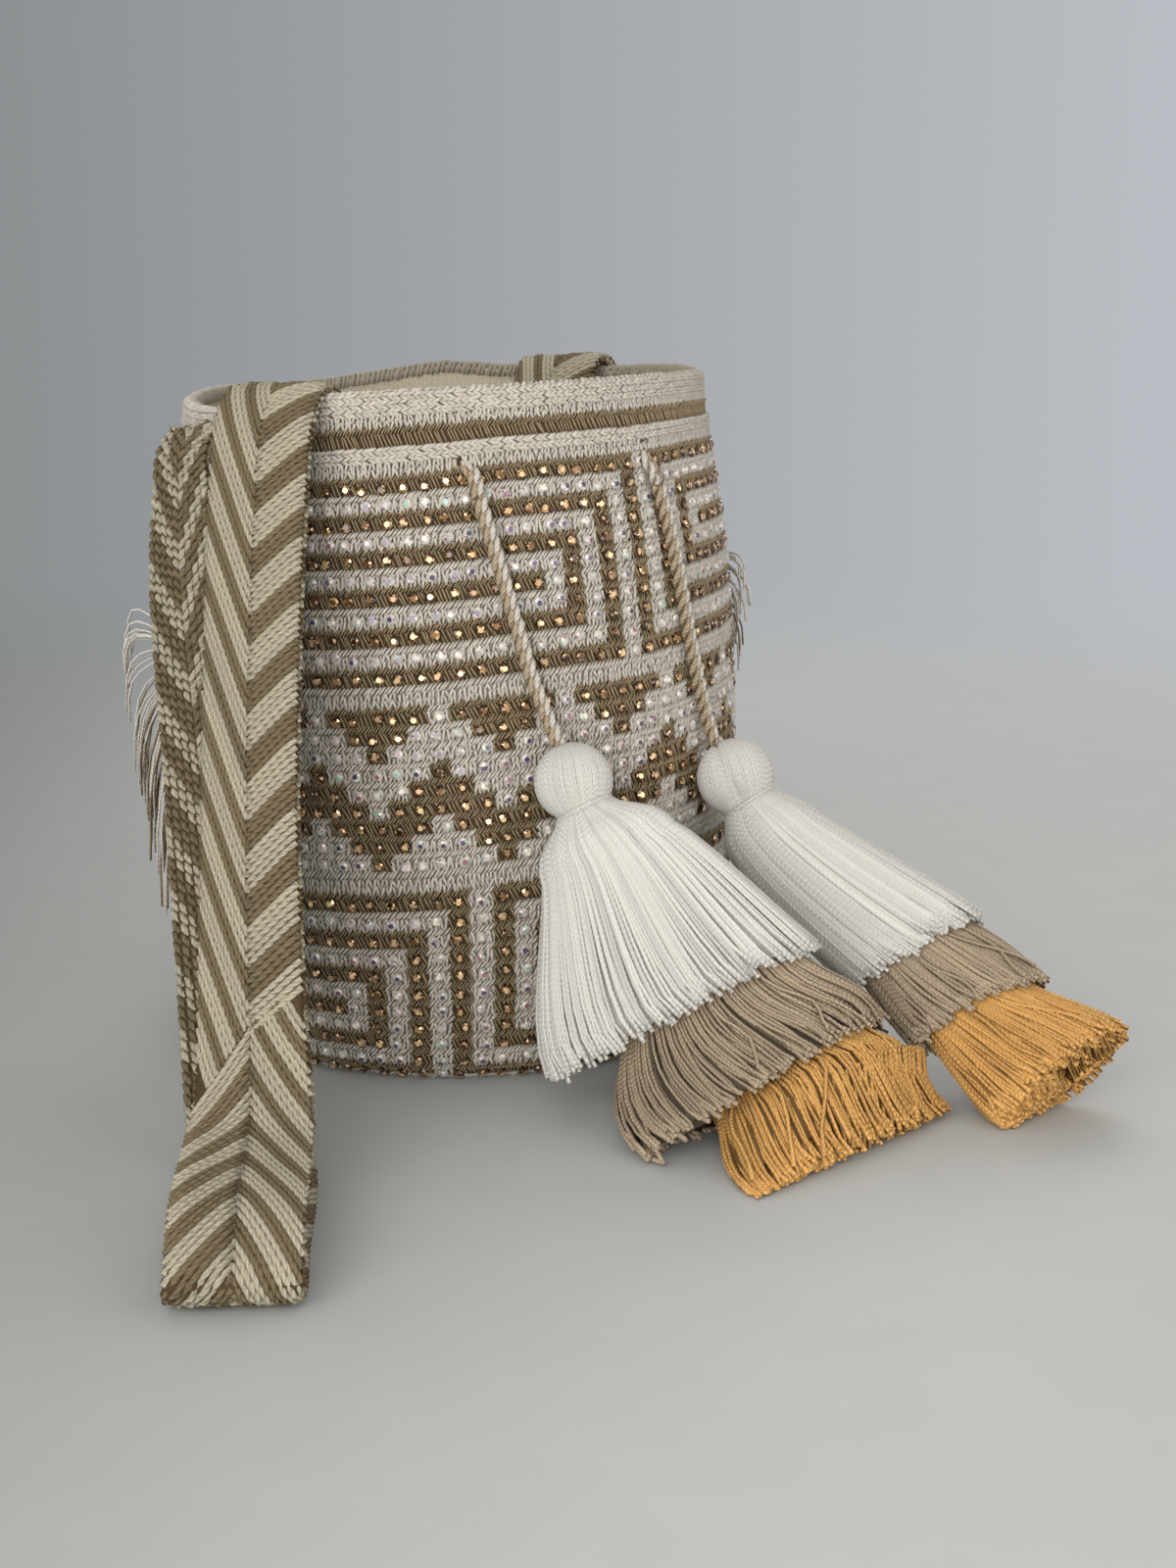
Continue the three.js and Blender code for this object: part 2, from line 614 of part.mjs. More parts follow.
for (const [side, tassel] of [['left', TASSEL_LEFT], ['right', TASSEL_RIGHT]]) {
  const axis = tasselAxis(tassel);
  add(`tassel_${side}_white`, whiteTier(axis, tassel), COLOURS.white, 0.85);
  add(`tassel_${side}_tie`, neckTie(axis, tassel), COLOURS.cream, 0.7);
  const taupeTier = lowerTier(axis, tassel, SHARE.whiteHem, SHARE.taupeHem, tassel.taupeHem);
  const goldTier = lowerTier(axis, tassel, SHARE.taupeHem, SHARE.goldHem, tassel.goldHem);
  add(`tassel_${side}_taupe`, taupeTier, COLOURS.taupe, 0.85);
  add(`tassel_${side}_gold`, goldTier, COLOURS.gold, 0.8);
}

export default group;
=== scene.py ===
"""A crocheted mochila bag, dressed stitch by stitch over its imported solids."""
from collections import namedtuple

import bpy
import numpy as np
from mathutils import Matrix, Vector


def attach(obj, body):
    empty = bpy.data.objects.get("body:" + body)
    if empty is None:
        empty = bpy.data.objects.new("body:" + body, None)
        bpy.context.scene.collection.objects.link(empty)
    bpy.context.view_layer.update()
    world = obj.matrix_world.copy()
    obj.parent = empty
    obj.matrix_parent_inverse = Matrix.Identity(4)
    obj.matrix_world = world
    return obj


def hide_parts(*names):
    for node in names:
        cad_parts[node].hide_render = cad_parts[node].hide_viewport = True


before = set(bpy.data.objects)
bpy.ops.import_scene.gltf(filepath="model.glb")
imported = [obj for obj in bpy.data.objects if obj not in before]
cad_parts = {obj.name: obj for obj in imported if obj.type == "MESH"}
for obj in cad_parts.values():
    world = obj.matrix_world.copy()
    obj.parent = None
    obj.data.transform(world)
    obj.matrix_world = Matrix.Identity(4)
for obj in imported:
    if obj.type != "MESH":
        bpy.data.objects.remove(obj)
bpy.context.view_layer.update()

random = np.random.default_rng(11)

# Sizes are in millimetres and angles in degrees from the front (-Y) towards +X, as in the solids.
MM = 0.001
BODY = "root"

# Camera and stage
CAMERA_AT = (0, -0.915, 0.290)
CAMERA_TURN = (77.7, 0, -3.46)
CAMERA_LENS = 52.875
FLOOR_RADIUS = 5.0
FLOOR_SIDES = 96
FLOOR_LEVEL = -0.0002
# Lights: name, place, size, power
LIGHTS_AIM = (0.03, -0.05, 0.12)
LIGHTS = [
    ("key", (-0.4, -1.45, 0.5), 1.3, 22),
    ("fill", (1.2, -1.2, 0.4), 1.2, 6),
    ("back", (0.4, 1.4, 1.3), 1.0, 8),
]

# The bag's outline: height, outer radius, sideways lean of the axis, slope of the rows
BAG_SECTIONS = [
    (0, 93, 4, 0),
    (3, 99, 4, 0),
    (10, 102.5, 4, 0.005),
    (30, 105.5, 4, 0.02),
    (60, 108, 3.5, 0.04),
    (110, 110, 2.5, 0.058),
    (150, 109.5, 1.5, 0.06),
    (190, 107, 0.5, 0.055),
    (225, 102.5, -0.5, 0.045),
    (252.5, 99, -1, 0.035),
]
# How far the rim stands above its mean height: angle, rise
RIM_RISE = [
    (-180, 3.5),
    (-140, -2.5),
    (-112, -1.4),
    (-90, -3.1),
    (-58, -5.6),
    (-32, -1.2),
    (0, 0.7),
    (45, 1.2),
    (90, 0),
    (115, 0.5),
    (148, -1),
    (180, 3.5),
]
BAG_HEIGHT = 252.5
WALL = 4
RIM_RISE_FROM = 180
# Below this height the rows are spaced along the curve of the wall, not by height.
ROWS_BY_HEIGHT_ABOVE = 30

# Crochet
CREAM, TAN = 0, 1
PLAIN_CELLS = 90
# Strands in a cell of a row and their radius, by colour
RIDGE_STRANDS = (5, 6)
RIDGE_RADIUS = (0.8, 0.5)
POST_STRANDS = (5, 5)
POST_RADIUS = (0.9, 0.56)
RIDGE_SHARE = 0.4
# Lean and rise of a ridge's strands by colour, and how far they stand out at start, middle and end
RIDGE_LEAN = (1.7, 2.1)
RIDGE_RISE = (1.05, 1.25)
RIDGE_SWELL = ([0.45, 0.95, 0.45], [0.15, 1.2, 0.2])
RIDGE_TAPER = np.array([0.66, 1.0, 0.66])
# A chain's strands: lean, how far they stand out and their radius at start, middle and end
CHAIN_STRANDS = 3
CHAIN_LEAN = 1.35
CHAIN_SWELL = [0.35, 1.0, 0.45]
CHAIN_RADIUS = [0.85, 1.2, 0.9]
# Where a strand passes: start, middle and end
STRAND = np.array([-0.5, 0.0, 0.5])
# The stitches are in pieces that end at these heights.
UPPER_ENDS, MIDDLE_ENDS = 152, 79
# The stepped key has rows of bars and rows of uprights by turns. For each row: the column where the left
# bar or the uprights end, and the one where the right bar begins or the uprights end, from the key's middle
KEY_ROWS = [
    (0, 2),
    (0, 2),
    (-2, 4),
    (-2, 4),
    (-4, 6),
    (-4, 4),
    (-6, 4),
    (-4, 2),
    (-4, 2),
    (-2, 0),
    (-2, 0),
]
KEY_REPEATS = 4
# The teeth, one letter a cell, # for tan
TEETH_CHART = [
    "#####.",
    ".###..",
    "..#...",
    ".....#",
    "#...##",
    "##.###",
    "#####.",
    ".###..",
    "..#...",
]
# Bands: pattern, cells around, height of the first row of stones, row pitch, bow of the middle rows,
# angle of the first column, lean of the columns from row to row
BANDS = [
    ("key", 92, 220.2, 6.65, 1.8, 38.4, 0.2),
    ("teeth", 90, 139.5, 6.71, 0.0, -23.2, 0.0),
    ("key", 84, 70.6, 6.85, -1.0, -0.7, 0.0),
]
STONE_BELOW_TOP = 0.64
# Rows of the rim above the first band: top, kind, colour
RIM_ROWS = [
    (252.4, "chain", CREAM),
    (249.8, "chain", CREAM),
    (247.2, "chain", CREAM),
    (244.6, "posts", CREAM),
    (241.0, "stitch", TAN),
    (234.0, "chain", CREAM),
    (231.4, "chain", CREAM),
    (228.8, "posts", CREAM),
]
# How far the rows climb above their mean height: angle, rise
ROW_RISE = [
    (-180, 0),
    (-60, -0.5),
    (-22, -0.8),
    (0, 0.6),
    (12, 1.9),
    (40, 1.8),
    (60, 3.0),
    (90, 2.6),
    (140, 0.8),
    (180, 0),
]
STONE_RADIUS = 2.15
# The ribs of the inside
INSIDE_PITCH = 4.5
INSIDE_COLUMNS = 240
INSIDE_RIB = 0.35

# Drawstring: the cord's rest height and the eyelets in the order it meets them
CORD_DIAMETER = 5
CORD_HEIGHT = 226
EYELET_CLEARANCE = 0.7
EYELET_HALF_TURN = 7
# How far the stitches stand back from the middle of an eyelet, in degrees and in height
EYELET_REACH = (1.0, 1.9)
EYELET_ANGLES = [2.5, -43, -90, -135, -180, -214, -256, -315.5]
# Points on the wall: angle, height, offset
LEFT_EXIT = [(4.9, 223.8, 2.8), (5.3, 220.4, 4.4)]
RIGHT_EXIT = [(43.3, 222.8, 2.8), (43.8, 219.2, 4.4)]
TAIL_LEFT = [
    (5.8, 215.5, 5),
    (6.3, 211, 5),
    (7.5, 202, 5),
    (9, 190, 5),
    (10.6, 177, 5),
    (12.2, 164, 5),
    (13.8, 151, 5.4),
]
TAIL_RIGHT = [
    (44.4, 214, 5),
    (44.9, 209, 5),
    (46.2, 197, 5),
    (47.4, 183, 5),
    (48.7, 168, 5),
    (50.2, 153, 5),
    (51.9, 138, 5.4),
]
SEAT_GAP = 0.4
TAIL_APPROACH = 6
HEAD_TOP_ANGLE = 24
# The cord is a cream pair of yarns beside a tan pair, each pair twisted round itself.
PAIR_PITCH = 10.0
PAIR_APART = 1.05
PAIR_REACH = 0.6
PAIR_DEPTH = 1.1
PAIR_YARN_RADIUS = 1.2

# Strap stations from the left sewn end to the right one: on the wall (angle, height, offset) or free
# (x, y, z), then heading and rise of the width line
STRAP_WIDTH = 40
STRAP_THICKNESS = 3.2
STRAP_STATIONS = [
    ("wall", -52, 168, 2.2, -54, 0),
    ("wall", -52, 190, 2.2, -54, 0),
    ("wall", -52, 208, 2.6, -54, 0),
    ("wall", -52, 223, 7.6, -54, 3),
    ("wall", -52, 238, 8.8, -55, 8),
    ("wall", -52, 246.5, 13, -56, 11),
    ("wall", -52, 238.5, 18.4, -57, 9),
    ("free", -95.5, -77, 217, -57, 4),
    ("free", -94.5, -92, 185, -53, 0),
    ("free", -86.8, -122, 120, -47, 0),
    ("free", -79, -153, 60, -38, 0),
    ("free", -72, -178, 20, -26, 0),
    ("free", -67, -196, 5.2, -14, 0),
    ("free", -65.5, -215, 2.3, -8, 0),
    ("free", -65.5, -252, 2, -2, 0),
    ("free", -64.5, -284, 2.3, 0, 0),
    ("free", -64.5, -295, 4.6, 0, 0),
    ("free", -64.5, -297.5, 9.5, 0, 0),
    ("free", -64.5, -290, 16.5, -1, 0),
    ("free", -64.7, -277, 22.5, -3, 0),
    ("free", -65, -260, 25, -6, 0),
    ("free", -65, -240, 26, -11, 0),
    ("free", -65, -221, 30, -18, 0),
    ("free", -65.2, -207, 44, -25, 0),
    ("free", -66, -194, 73, -32, 0),
    ("free", -67, -168, 120, -38, 0),
    ("free", -67, -135, 175, -36, 0),
    ("free", -66, -110, 217, -32, 0),
    ("free", -64, -94, 243, -30, 0),
    ("free", -59, -78, 253, -32, 0),
    ("free", -51, -66, 248, -35, 0),
    ("free", -43, -55, 236, -37, 0),
    ("free", -29, -36, 218, -36, 0),
    ("free", 0, 4, 207, -36, 0),
    ("free", 28, 44, 222, -36, 0),
    ("free", 41, 64, 244, -38, 0),
    ("free", 49, 78, 257.5, -40, 2),
    ("free", 55.5, 89.5, 254.5, -40, 3),
    ("wall", 145, 238, 9.5, -42, 12),
    ("wall", 141, 222, 7.8, -44, 18),
    ("wall", 136, 206, 2.6, -46, 20),
    ("wall", 132, 188, 2.3, -48, 20),
    ("wall", 128, 168, 2.3, -52, 20),
]
# The braid turns round where its front run has this height above the floor.
BRAID_TURN_HEIGHT = 56
# Cords of the braid: half of the strap, way along for each way across, repeat, cords in a repeat, radius
BRAID_ABOVE = [(1, 0.66, 24.5, 9, 1.18), (-1, 2.5, 24.5, 5, 1.05)]
BRAID_BELOW = [(1, -1.9, 20.0, 5, 1.02), (-1, -1.3, 20.0, 6, 1.08)]
BACK_COLUMNS = 10
BACK_PITCH = 3.8
BACK_REPEAT = 24.5

# Fringe locks: place along the band's width, tip angle, height, offset
FRINGE_LEFT = [
    (-0.45, -90, 140, 19),
    (-0.32, -88, 100, 15),
    (-0.19, -83, 82, 12),
    (-0.06, -77, 70, 10),
    (0.06, -68, 80, 6),
    (0.19, -59, 84, 6),
    (0.32, -51, 90, 5),
    (0.45, -44, 96, 5),
]
FRINGE_RIGHT = [
    (-0.45, 138, 104, 5),
    (-0.32, 133, 96, 6),
    (-0.19, 128, 102, 5),
    (-0.06, 122, 95, 6),
    (0.06, 116, 104, 5),
    (0.19, 110, 118, 6),
    (0.32, 103, 136, 7),
    (0.45, 97, 156, 8),
]
FRINGE_BAR = 3
FRINGE_THREADS = 15
FRINGE_RADIUS = 0.42

# Sections from head to last hem: x, y, z, half width, half thickness, heading and rise of the width line
# Swell rounds the shoulder, a lower tier starts at a share of its section, its threads start shifted along
# the width line, the gold ones end lying down as far as stated, and the head may have a crease.
# Ends are the threads inside the gold tier: count, share of the section
# Hems: share along the axis, how much longer it hangs on one side, the turn of that side
TASSELS = {
    "left": {
        "radius": 14,
        "crease": 0.0,
        "swell": 0.28,
        "tier_start": 0.58,
        "shift": 15,
        "lie": 0.8,
        "ends": [(100, 0.8), (64, 0.6), (36, 0.38)],
        "hems": {"white": (0.6, 8, 135), "taupe": (0.8, 11, 90), "gold": (1.0, 0, 90)},
        "tail": TAIL_LEFT,
        "sections": [
            (43, -119, 117, 14, 14, -9, 25),
            (46.8, -122.5, 107.6, 10, 10, -9, 25),
            (56.5, -128.5, 90.5, 27.5, 17, -8, 27),
            (80, -145, 41, 53, 20, -4, 25),
            (107, -164, 18, 52, 20, 28, 17),
            (136, -185, 7, 52, 20, 42, 6),
        ],
    },
    "right": {
        "radius": 14.5,
        "crease": 0.09,
        "swell": 0.15,
        "tier_start": 0.745,
        "shift": 0,
        "lie": 0.0,
        "ends": [(150, 0.89), (128, 0.77), (106, 0.65), (84, 0.52), (60, 0.38), (36, 0.24), (12, 0.1)],
        "hems": {"white": (0.6, 0, 90), "taupe": (0.8, 0, 90), "gold": (1.0, 0, 90)},
        "tail": TAIL_RIGHT,
        "sections": [
            (106.5, -73, 108, 14.5, 14.5, -14, 32),
            (111.7, -76.6, 98.3, 10.5, 10.5, -14, 32),
            (124, -84, 83.5, 19.5, 15.5, -14, 34),
            (170, -110, 49, 28, 18, -14, 34),
            (191, -127, 30, 27, 18, 0, 29),
            (216, -153, 13, 30, 18, 24, 26),
        ],
    },
}
# Shares along the tassel's axis where its sections lie
NECK, WHITE_HEM, TAUPE_HEM = 0.2, 0.6, 0.8
SHOULDER_END = 0.5
THREAD_RADIUS = 0.85
# From this share on a tassel's gold threads bend down to the floor.
LIE_FROM = 0.87
FLOOR_CLEARANCE = 0.15
TIE_TURNS = 2
TIE_RADIUS = 0.35
TIE_STEPS = 110
HEAD_THREADS = 96
HEAD_THREAD_RADIUS = 0.62
CORE_SIDES = 36
# A lower tier starts this much above the hem over it.
TIER_LAP = 0.05
# Threads of the lower tiers: count, how much wider they start, their size at the hem, raggedness, wander
TIER_THREADS = {
    "taupe": [(150, 0, 0.985, 0.016, 0.06), (12, 0.04, 1.03, 0.04, 0.4), (115, -0.04, 0.94, 0.02, 0.05)],
    "gold": [(150, 0, 0.985, 0.018, 0.06), (10, 0.04, 1.03, 0.03, 0.4), (115, -0.04, 0.94, 0.022, 0.05)],
}
# Cores of the lower tiers: how far they end above the hem, their size there
TIER_CORES = {"taupe": (0.018, 0.9), "gold": (0.05, 0.88)}


def unit(vectors):
    return vectors / np.maximum(np.linalg.norm(vectors, axis=-1, keepdims=True), 1e-9)


def mix(start, end, share):
    return start + (end - start) * share


def smooth_column(keys, values):
    """A smooth curve through one column of a table, read at values of its key column."""
    keys = np.array(keys, float)
    values = np.array(values, float)
    last = len(keys) - 1
    before = np.maximum(np.arange(last + 1) - 1, 0)
    after = np.minimum(np.arange(last + 1) + 1, last)
    slopes = (values[after] - values[before]) / (keys[after] - keys[before])

    def read(at):
        at = np.clip(at, keys[0], keys[-1])
        i = np.clip(np.searchsorted(keys, at) - 1, 0, last - 1)
        span = keys[i + 1] - keys[i]
        t = (at - keys[i]) / span
        s = 1 - t
        start = values[i] * s * s * (1 + 2 * t) + slopes[i] * span * t * s * s
        return start + values[i + 1] * t * t * (3 - 2 * t) - slopes[i + 1] * span * t * t * s

    return read


def smooth_curve(points):
    """The curve through points that the solids follow, read at shares from 0 to 1."""
    points = np.array(points, float)
    padded = np.vstack([2 * points[0] - points[1], points, 2 * points[-1] - points[-2]])
    steps = np.sqrt(np.linalg.norm(np.diff(padded, axis=0), axis=1))

    def read(share):
        place = np.clip(share, 0, 1) * (len(points) - 1)
        i = np.minimum(place.astype(int), len(points) - 2)
        t = (place - i)[..., None]
        p0, p1, p2, p3 = padded[i], padded[i + 1], padded[i + 2], padded[i + 3]
        middle = steps[i + 1][..., None]
        middle = np.where(middle < 1e-4, 1.0, middle)
        first = steps[i][..., None]
        first = np.where(first < 1e-4, middle, first)
        last = steps[i + 2][..., None]
        last = np.where(last < 1e-4, middle, last)
        leave = middle * ((p1 - p0) / first - (p2 - p0) / (first + middle) + (p2 - p1) / middle)
        arrive = middle * ((p2 - p1) / middle - (p3 - p1) / (middle + last) + (p3 - p2) / last)
        square = -3 * p1 + 3 * p2 - 2 * leave - arrive
        cube = 2 * p1 - 2 * p2 + leave + arrive
        return p1 + leave * t + square * t**2 + cube * t**3

    return read


def tangent(curve, share, step=1e-4):
    return unit(curve(np.minimum(share + step, 1)) - curve(np.maximum(share - step, 0)))


def width_lines(rows):
    """Directions from rows of heading and rise."""
    heading, rise = np.radians(rows).T
    return np.stack([np.cos(heading) * np.cos(rise), np.sin(heading) * np.cos(rise), np.sin(rise)], 1)


def lengths(path):
    """Distance along a path at each of its points."""
    return np.concatenate([[0], np.cumsum(np.linalg.norm(np.diff(path, axis=0), axis=1))])


# The bag's wall
heights, radii, shifts, tilts = (list(values) for values in zip(*BAG_SECTIONS))
bag_radius = smooth_column(heights, radii)
bag_shift = smooth_column(heights, shifts)
bag_tilt = smooth_column(heights, tilts)
rim_rise = smooth_column(*zip(*RIM_RISE))
row_rise = smooth_column(*zip(*ROW_RISE))

PROFILE_HEIGHTS = np.arange(0, BAG_HEIGHT + 0.01, 0.25)
profile = np.stack([bag_radius(PROFILE_HEIGHTS), PROFILE_HEIGHTS], 1)
profile_run = lengths(profile)
profile_run -= np.interp(ROWS_BY_HEIGHT_ABOVE, PROFILE_HEIGHTS, profile_run)
PROFILE_PLACES = np.where(
    PROFILE_HEIGHTS < ROWS_BY_HEIGHT_ABOVE,
    ROWS_BY_HEIGHT_ABOVE + profile_run,
    PROFILE_HEIGHTS,
)
profile_along = unit(np.gradient(profile, axis=0))
LOWEST_PLACE = PROFILE_PLACES[0]


def wall(angle, place, offset=0.0):
    """A point on the outside of the wall, at a place up its curve, moved outwards by an offset."""
    turn = np.radians(angle)
    height = np.interp(place, PROFILE_PLACES, PROFILE_HEIGHTS)
    out_level = np.interp(place, PROFILE_PLACES, profile_along[:, 1])
    out_up = -np.interp(place, PROFILE_PLACES, profile_along[:, 0])
    radius = bag_radius(height) + offset * out_level
    across = radius * np.sin(turn)
    wrapped = (np.asarray(angle) + 180) % 360 - 180
    near = np.clip((height - RIM_RISE_FROM) / (BAG_HEIGHT - RIM_RISE_FROM), 0, 1)
    rise = rim_rise(wrapped) * near * near * (3 - 2 * near)
    z = height + offset * out_up + bag_tilt(height) * across + rise
    x = bag_shift(height) + across
    y = -radius * np.cos(turn)
    return np.stack(np.broadcast_arrays(x, y, np.maximum(z, FLOOR_CLEARANCE)), -1)


def row_place(angle, place):
    """Where a row runs: it climbs a little towards the right, but not at the rim and at the base."""
    wrapped = (angle + 180) % 360 - 180
    share = np.clip(np.minimum((place - 5) / 45, (250 - place) / 28), 0, 1)
    return place + row_rise(wrapped) * share


def wall_out(angle, place):
    return unit(wall(angle, place, 1.0) - wall(angle, place, 0.0))


def level_wall(angle, height, offset):
    """A point on the wall as the solids place it, with a level offset."""
    point = wall(angle, height, 0.0)
    turn = np.radians(angle)
    across = offset * np.sin(turn)
    return point + np.stack([across, -offset * np.cos(turn), bag_tilt(height) * across], -1)


class Piece:
    """Gathers the points and faces of one piece, with materials, tints and places along its threads."""

    def __init__(self):
        self.points = []
        self.count = 0
        self.first = 0
        self.faces = []
        self.materials = []
        self.smooth = []
        self.tints = []
        self.places = []

    def add(self, points, faces, material=0, tint=1.0, places=None, smooth=True):
        """Points (n, 3) and faces (m, corners); material per face, tint and places per face corner.

        Without points, the faces join the points of the call before.
        """
        if points is not None:
            self.points.append(np.asarray(points).reshape(-1, 3))
            self.first = self.count
            self.count += len(self.points[-1])
        faces = np.asarray(faces)
        corners = faces.shape
        tint = np.asarray(tint, float)
        if tint.ndim == 0:
            tint = np.full(3, tint)
        if places is None:
            places = np.zeros(2)
        self.faces.append(faces + self.first)
        self.materials.append(np.broadcast_to(material, corners[:1]))
        self.smooth.append(np.full(corners[0], smooth))
        self.tints.append(np.broadcast_to(tint, corners + (3,)).reshape(-1, 3))
        self.places.append(np.broadcast_to(places, corners + (2,)).reshape(-1, 2))

    def build(self, name, materials, slot, nodes=()):
        points = np.concatenate(self.points) * MM
        sizes = np.concatenate([np.full(len(f), f.shape[1]) for f in self.faces])
        corners = np.concatenate([f.ravel() for f in self.faces])
        starts = np.concatenate([[0], np.cumsum(sizes)[:-1]])
        mesh = bpy.data.meshes.new(name)
        mesh.vertices.add(len(points))
        mesh.vertices.foreach_set("co", points.astype(np.float32).ravel())
        mesh.loops.add(len(corners))
        mesh.loops.foreach_set("vertex_index", corners.astype(np.int32))
        mesh.polygons.add(len(sizes))
        mesh.polygons.foreach_set("loop_start", starts.astype(np.int32))
        mesh.polygons.foreach_set("material_index", np.concatenate(self.materials).astype(np.int32))
        mesh.update(calc_edges=True)
        mesh.polygons.foreach_set("use_smooth", np.concatenate(self.smooth))
        tint = mesh.color_attributes.new("tint", "FLOAT_COLOR", "CORNER")
        tints = np.concatenate(self.tints)
        opaque = np.concatenate([tints, np.ones((len(tints), 1))], 1)
        tint.data.foreach_set("color", opaque.astype(np.float32).ravel())
        thread = mesh.uv_layers.new(name="thread")
        thread.uv.foreach_set("vector", np.concatenate(self.places).astype(np.float32).ravel())
        for material in materials:
            mesh.materials.append(material)
        piece = bpy.data.objects.new(name, mesh)
        bpy.context.collection.objects.link(piece)
        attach(piece, BODY)
        if nodes:
            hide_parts(*nodes)
        return piece


def add_tubes(piece, paths, radii, ups, sides=4, material=0, tint=1.0, unshaded_tips=False):
    """Closed tubes along many paths: paths (n, k, 3), radii and ups to match, material and tint per tube.

    Where the tips are left unshaded, they stand clear of their neighbours, so the painted shade down their
    sides ends there.
    """
    count, steps, _ = paths.shape
    along = unit(np.gradient(paths, axis=1))
    side = unit(np.cross(along, ups))
    up = np.cross(side, along)
    turn = np.pi / 2 + 2 * np.pi * np.arange(sides) / sides
    reach = np.broadcast_to(radii, (count, steps))[:, :, None, None]
    round_side = np.cos(turn)[:, None] * side[:, :, None]
    round_up = np.sin(turn)[:, None] * up[:, :, None]
    points = paths[:, :, None] + reach * (round_side + round_up)
    index = np.arange(count * steps * sides).reshape(count, steps, sides)
    low = index[:, :-1]
    high = index[:, 1:]
    quads = np.stack([low, high, np.roll(high, -1, 2), np.roll(low, -1, 2)], -1)
    gaps = np.linalg.norm(np.diff(paths, axis=1), axis=2)
    run = np.concatenate([np.zeros((count, 1)), np.cumsum(gaps, axis=1)], 1)
    run = run + random.uniform(0, 20, (count, 1))
    run_low = np.broadcast_to(run[:, :-1, None], low.shape)
    run_high = np.broadcast_to(run[:, 1:, None], low.shape)
    around = np.broadcast_to(np.arange(sides) / sides, low.shape)
    around_next = around + 1 / sides
    along_places = np.stack([run_low, run_high, run_high, run_low], -1)
    around_places = np.stack([around, around, around_next, around_next], -1)
    # The tips carry the places of a strand's outer face, so the painted shade down its sides fades there.
    if unshaded_tips:
        around_places[:, -1, :, 1:3] = np.round(around_places[:, -1, :, 1:3])
    places = np.stack([along_places, around_places], -1).reshape(-1, 4, 2)
    per_tube = (steps - 1) * sides
    materials = np.broadcast_to(material, (count,))
    tints = np.broadcast_to(np.asarray(tint, float), (count,))
    side_tints = np.repeat(tints, per_tube)[:, None, None]
    piece.add(points, quads.reshape(-1, 4), np.repeat(materials, per_tube), side_tints, places)
    caps = np.concatenate([index[:, 0], index[:, -1, ::-1]])
    piece.add(None, caps, np.tile(materials, 2), np.tile(tints, 2)[:, None, None])


def add_grid(piece, grid, material=0, tint=1.0, closed=True, flip=False):
    """A sheet of quads over a grid of points, joined round its second direction where closed."""
    rows, columns, _ = grid.shape
    index = np.arange(rows * columns).reshape(rows, columns)
    after = np.roll(index, -1, 1) if closed else index[:, 1:]
    before = index if closed else index[:, :-1]
    quads = np.stack([before[:-1], after[:-1], after[1:], before[1:]], -1).reshape(-1, 4)
    if flip:
        quads = quads[:, ::-1]
    piece.add(grid, quads, material, tint)


def add_loft(piece, rings, material=0, tint=1.0):
    """A closed body through rings of equal point counts, capped at both ends."""
    rings = np.asarray(rings)
    steps, count, _ = rings.shape
    index = np.arange(steps * count).reshape(steps, count)
    after = np.roll(index, -1, 1)
    quads = np.stack([index[:-1], after[:-1], after[1:], index[1:]], -1).reshape(-1, 4)
    points = rings.reshape(-1, 3)
    middle = points.mean(0)
    corner = points[quads]
    facing = np.cross(corner[:, 1] - corner[:, 0], corner[:, 3] - corner[:, 0])
    outwards = np.sum(facing * (corner.mean(1) - middle), 1).sum() > 0
    caps = np.stack([index[0][::-1], index[-1]])
    if not outwards:
        quads = quads[:, ::-1]
        caps = caps[:, ::-1]
    piece.add(points, quads, material, tint)
    piece.add(None, caps, material, tint)


# Materials
def linear(red, green, blue):
    srgb = np.array([red, green, blue]) / 255
    return tuple(np.where(srgb <= 0.04045, srgb / 12.92, ((srgb + 0.055) / 1.055) ** 2.4)) + (1.0,)


def feed(socket, value):
    """Set an input, or link it where the value is another node's output."""
    if isinstance(value, bpy.types.NodeSocket):
        socket.id_data.links.new(value, socket)
    else:
        socket.default_value = value


def node(tree, kind, out, settings=(), **inputs):
    """Add a node and return one of its outputs. An underscore in an input's name stands for a space."""
    made = tree.nodes.new("ShaderNode" + kind)
    for name, value in settings:
        setattr(made, name, value)
    for name, value in inputs.items():
        feed(made.inputs[name.replace("_", " ")], value)
    return made.outputs[out]


def calc(tree, operation, *values):
    made = tree.nodes.new("ShaderNodeMath")
    made.operation = operation
    for socket, value in zip(made.inputs, values):
        feed(socket, value)
    return made.outputs["Value"]


def blend(tree, low, high, factor=1.0, way="MULTIPLY"):
    settings = [("data_type", "RGBA"), ("blend_type", way)]
    return node(tree, "Mix", "Result", settings, Factor=factor, A=low, B=high)


def ramp(tree, factor, *stops):
    """A colour ramp, each of its stops a place and a colour."""
    made = tree.nodes.new("ShaderNodeValToRGB")
    for element, (place, colour) in zip(made.color_ramp.elements, stops):
        element.position = place
        element.color = colour
    feed(made.inputs["Fac"], factor)
    return made.outputs["Color"]


def remap(tree, value, way="LINEAR", **ends):
    return node(tree, "MapRange", "Result", [("interpolation_type", way)], Value=value, **ends)


def object_noise(tree, **values):
    return node(tree, "TexNoise", "Fac", Vector=node(tree, "TexCoord", "Object"), **values)


def new_material(name, **values):
    """A material with these values on its shader, its node tree and the shader's inputs."""
    material = bpy.data.materials.new(name)
    material.use_nodes = True
    inputs = material.node_tree.nodes["Principled BSDF"].inputs
    for socket, value in values.items():
        inputs[socket.replace("_", " ")].default_value = value
    return material, material.node_tree, inputs


def tinted(tree, colour):
    """The colour times the tint that each face corner carries."""
    return blend(tree, colour, node(tree, "VertexColor", "Color", [("layer_name", "tint")]))


